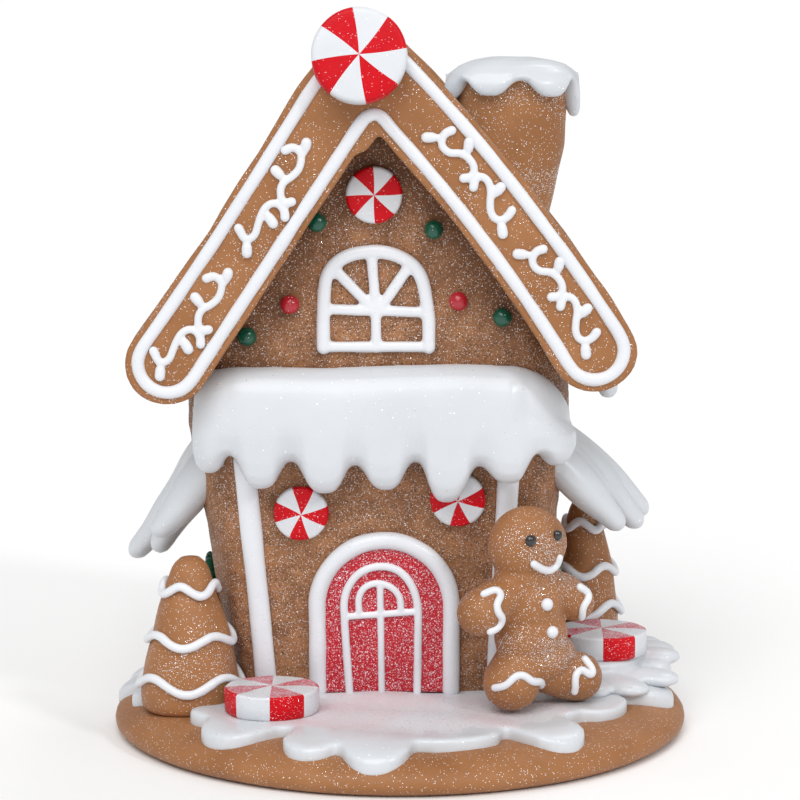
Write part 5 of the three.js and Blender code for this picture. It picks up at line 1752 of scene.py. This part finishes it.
def make_glitter():
    """The glitter on dough, icing and sweets."""
    glitter = bpy.context.scene.gingerbread_house.glitter
    clear = flake_material("Silver glitter", tuple(glitter.clear), (0.95, 0.86, 0.84))
    dark = flake_material("Painted shade glitter", tuple(glitter.dark), (0.16, 0.10, 0.08))
    sugar = flake_material("Sugar glitter", (0.93, 0.90, 0.93), (0.95, 0.78, 0.80))
    walls = {"house_walls": 1}
    scatter(
        "wall_glitter", walls, glitter.wall_flakes, glitter.flake, clear, glitter.seed,
        lambda p: in_patches(p, 34 * MM, 5, 0.3)
    )
    # Painted shade: dark flakes stand in for glitter flakes turned away from the light.
    scatter(
        "wall_dark_glitter", walls, glitter.painted_shade_flakes, glitter.flake, dark, glitter.seed + 1
    )
    dough = {
        "dough_base": 0.5, "gable_band": 1.2, "gable_band_behind": 0.4, "chimney_dough": 4.0,
        "dough_tree_left": 3.0, "dough_tree_right": 2.4, "gingerbread_man_dough": 6.5,
    }
    scatter(
        "dough_glitter", dough, glitter.dough_flakes, glitter.flake, clear, glitter.seed + 2,
        lambda p: in_patches(p, 17 * MM, 9, 0.06, 3) * (p[:, 2] > 1.5 * MM),
    )
    snow = {
        "ground_snow": 1, "snow_mound_soft": 1, "front_awning": 1, "back_awning": 0.6,
        "side_awning_left": 0.8, "side_awning_right": 0.8, "chimney_cap": 0.5, "roof_snow_soft": 0.5,
        "door_arch": 2, "band_piping": 1, "attic_window_bars": 1, "corner_icing_left": 2,
        "corner_icing_right": 2,
    }
    scatter(
        "snow_glitter", snow, glitter.snow_flakes, glitter.flake * 0.9, clear, glitter.seed + 3,
        lambda p: in_patches(p, 30 * MM, 13, 0.2)
    )
    sweets = {
        "sugared_door": 3.0, "ground_sweet_left": 1.6, "ground_sweet_right": 1.6, "ridge_sweet": 0.15,
        "gable_sweet": 0.15, "wall_sweet_left": 0.6, "wall_sweet_right": 0.6,
    }
    scatter(
        "sugar_grains", sweets, glitter.sugar_grains, glitter.flake * 0.75, sugar,
        glitter.seed + 4, tilt=0.35
    )


# ---------------------------------------------------------------- stage


def lamp(name, kind, energy, position, target, **settings):
    data = bpy.data.lights.new(name, kind)
    data.energy = energy
    for key, value in settings.items():
        setattr(data, key, value)
    light = bpy.data.objects.new(name, data)
    light.location = position
    light.rotation_euler = (Vector(target) - Vector(position)).to_track_quat("-Z", "Y").to_euler()
    bpy.context.scene.collection.objects.link(light)
    return light


def make_stage():
    """The pale floor, the soft lamps and the camera."""
    stage = bpy.context.scene.gingerbread_house.stage
    scene = bpy.context.scene
    reach = 90.0
    around = np.arange(64) * 2 * math.pi / 64
    lump = prism(np.column_stack([reach * np.cos(around), reach * np.sin(around)]), -0.02, 0.0, 2)
    floor = new_piece("floor", lump)
    floor.data.materials.append(
        clay_finish(
            "Pale floor", tuple(stage.floor), tuple(0.985 * c for c in stage.floor), 3, 40, 0.0, [], 0.9,
            Specular_IOR_Level=0.1
        )
    )
    world = bpy.data.worlds.new("Studio")
    world.use_nodes = True
    background = world.node_tree.nodes["Background"]
    background.inputs["Color"].default_value = (1.0, 1.0, 1.0, 1.0)
    background.inputs["Strength"].default_value = stage.sky
    scene.world = world
    lamp("Key", "SUN", stage.key, (-0.25, -1.0, 1.2), (0, 0, 0), angle=math.radians(45))
    lamp("Glint", "SUN", stage.glint, (0.8, -0.8, 0.7), (0, 0, 0), angle=math.radians(9))
    lamp("Back glint", "SUN", stage.back, (0.5, 0.8, 1.3), (0, 0, 0), angle=math.radians(20))
    data = bpy.data.cameras.new("Camera")
    data.lens = stage.lens
    data.sensor_width = 36
    camera = bpy.data.objects.new("Camera", data)
    camera.location = (0, -stage.distance, stage.height)
    camera.rotation_euler = (math.pi / 2 - stage.pitch, 0, 0)
    scene.collection.objects.link(camera)
    scene.camera = camera
    scene.view_settings.view_transform = "Standard"


# ---------------------------------------------------------------- operators


class MakeGround(bpy.types.Operator):
    """Makes the round base, the snow on it and the mound of snow"""

    bl_idname = "gingerbread.ground"
    bl_label = "Ground"

    def execute(self, context):
        make_base()
        make_ground_snow()
        make_mound()
        return {"FINISHED"}


class MakeWalls(bpy.types.Operator):
    """Makes the grainy walls"""

    bl_idname = "gingerbread.walls"
    bl_label = "Walls"

    def execute(self, context):
        make_walls()
        return {"FINISHED"}


class MakeRoof(bpy.types.Operator):
    """Makes the roof slabs and the snow on them"""

    bl_idname = "gingerbread.roof"
    bl_label = "Roof"

    def execute(self, context):
        make_roof()
        make_roof_snow()
        return {"FINISHED"}


class MakeBands(bpy.types.Operator):
    """Makes the gable bands with their piped lines and vines"""

    bl_idname = "gingerbread.bands"
    bl_label = "Gable bands"

    def execute(self, context):
        make_bands()
        make_band_piping()
        make_vines()
        return {"FINISHED"}


class MakeChimney(bpy.types.Operator):
    """Makes the chimney and its cap of snow"""

    bl_idname = "gingerbread.chimney"
    bl_label = "Chimney"

    def execute(self, context):
        make_chimney()
        return {"FINISHED"}


class MakeAwnings(bpy.types.Operator):
    """Makes the snow awnings at the front, the back and both sides"""

    bl_idname = "gingerbread.awnings"
    bl_label = "Snow awnings"

    def execute(self, context):
        make_awnings()
        make_wings()
        return {"FINISHED"}


class MakeDoor(bpy.types.Operator):
    """Makes the door, the attic window and the corner strips"""

    bl_idname = "gingerbread.door"
    bl_label = "Door and window"

    def execute(self, context):
        make_door()
        make_window()
        make_strips()
        return {"FINISHED"}


class MakeSweets(bpy.types.Operator):
    """Makes the six peppermint sweets"""

    bl_idname = "gingerbread.sweets"
    bl_label = "Sweets"

    def execute(self, context):
        make_sweets()
        return {"FINISHED"}


class MakePearls(bpy.types.Operator):
    """Makes the sugar pearls"""

    bl_idname = "gingerbread.pearls"
    bl_label = "Pearls"

    def execute(self, context):
        make_pearls()
        return {"FINISHED"}


class MakeTrees(bpy.types.Operator):
    """Makes the two trees with their wavy icing"""

    bl_idname = "gingerbread.trees"
    bl_label = "Trees"

    def execute(self, context):
        make_trees()
        return {"FINISHED"}


class MakeMan(bpy.types.Operator):
    """Makes the gingerbread man"""

    bl_idname = "gingerbread.man"
    bl_label = "Gingerbread man"

    def execute(self, context):
        make_man()
        return {"FINISHED"}


class MakeWreaths(bpy.types.Operator):
    """Makes the wreaths on the side walls"""

    bl_idname = "gingerbread.wreaths"
    bl_label = "Wreaths"

    def execute(self, context):
        make_wreaths()
        return {"FINISHED"}


class MakeGlitter(bpy.types.Operator):
    """Scatters glitter over the pieces made so far"""

    bl_idname = "gingerbread.glitter"
    bl_label = "Glitter"

    def execute(self, context):
        make_glitter()
        return {"FINISHED"}


class MakeStage(bpy.types.Operator):
    """Makes the floor, the lamps and the camera"""

    bl_idname = "gingerbread.stage"
    bl_label = "Stage"

    def execute(self, context):
        make_stage()
        return {"FINISHED"}


OPERATORS = (
    MakeGround, MakeWalls, MakeRoof, MakeBands, MakeChimney, MakeAwnings, MakeDoor, MakeSweets, MakePearls,
    MakeTrees, MakeMan, MakeWreaths, MakeGlitter, MakeStage,
)


class GingerbreadPanel(bpy.types.Panel):
    """Sidebar panel with one button for each part of the house"""

    bl_idname = "VIEW3D_PT_gingerbread"
    bl_label = "Gingerbread House"
    bl_space_type = "VIEW_3D"
    bl_region_type = "UI"
    bl_category = "Gingerbread"

    def draw(self, context):
        settings = context.scene.gingerbread_house
        for group in ("dough", "icing", "sweets", "glitter", "stage"):
            box = self.layout.box()
            box.label(text=group.capitalize())
            values = getattr(settings, group)
            for name in values.__annotations__:
                box.prop(values, name)
        for operator in OPERATORS:
            self.layout.operator(operator.bl_idname)


CLASSES = (
    DoughSettings, IcingSettings, SweetSettings, GlitterSettings, StageSettings, HouseSettings, *OPERATORS,
    GingerbreadPanel,
)


def register():
    for part in CLASSES:
        bpy.utils.register_class(part)
    bpy.types.Scene.gingerbread_house = PointerProperty(type=HouseSettings)


def unregister():
    del bpy.types.Scene.gingerbread_house
    for part in reversed(CLASSES):
        bpy.utils.unregister_class(part)


def main():
    register()
    for operator in OPERATORS:
        family, verb = operator.bl_idname.split(".")
        getattr(getattr(bpy.ops, family), verb)()


if __name__ == "__main__":
    main()
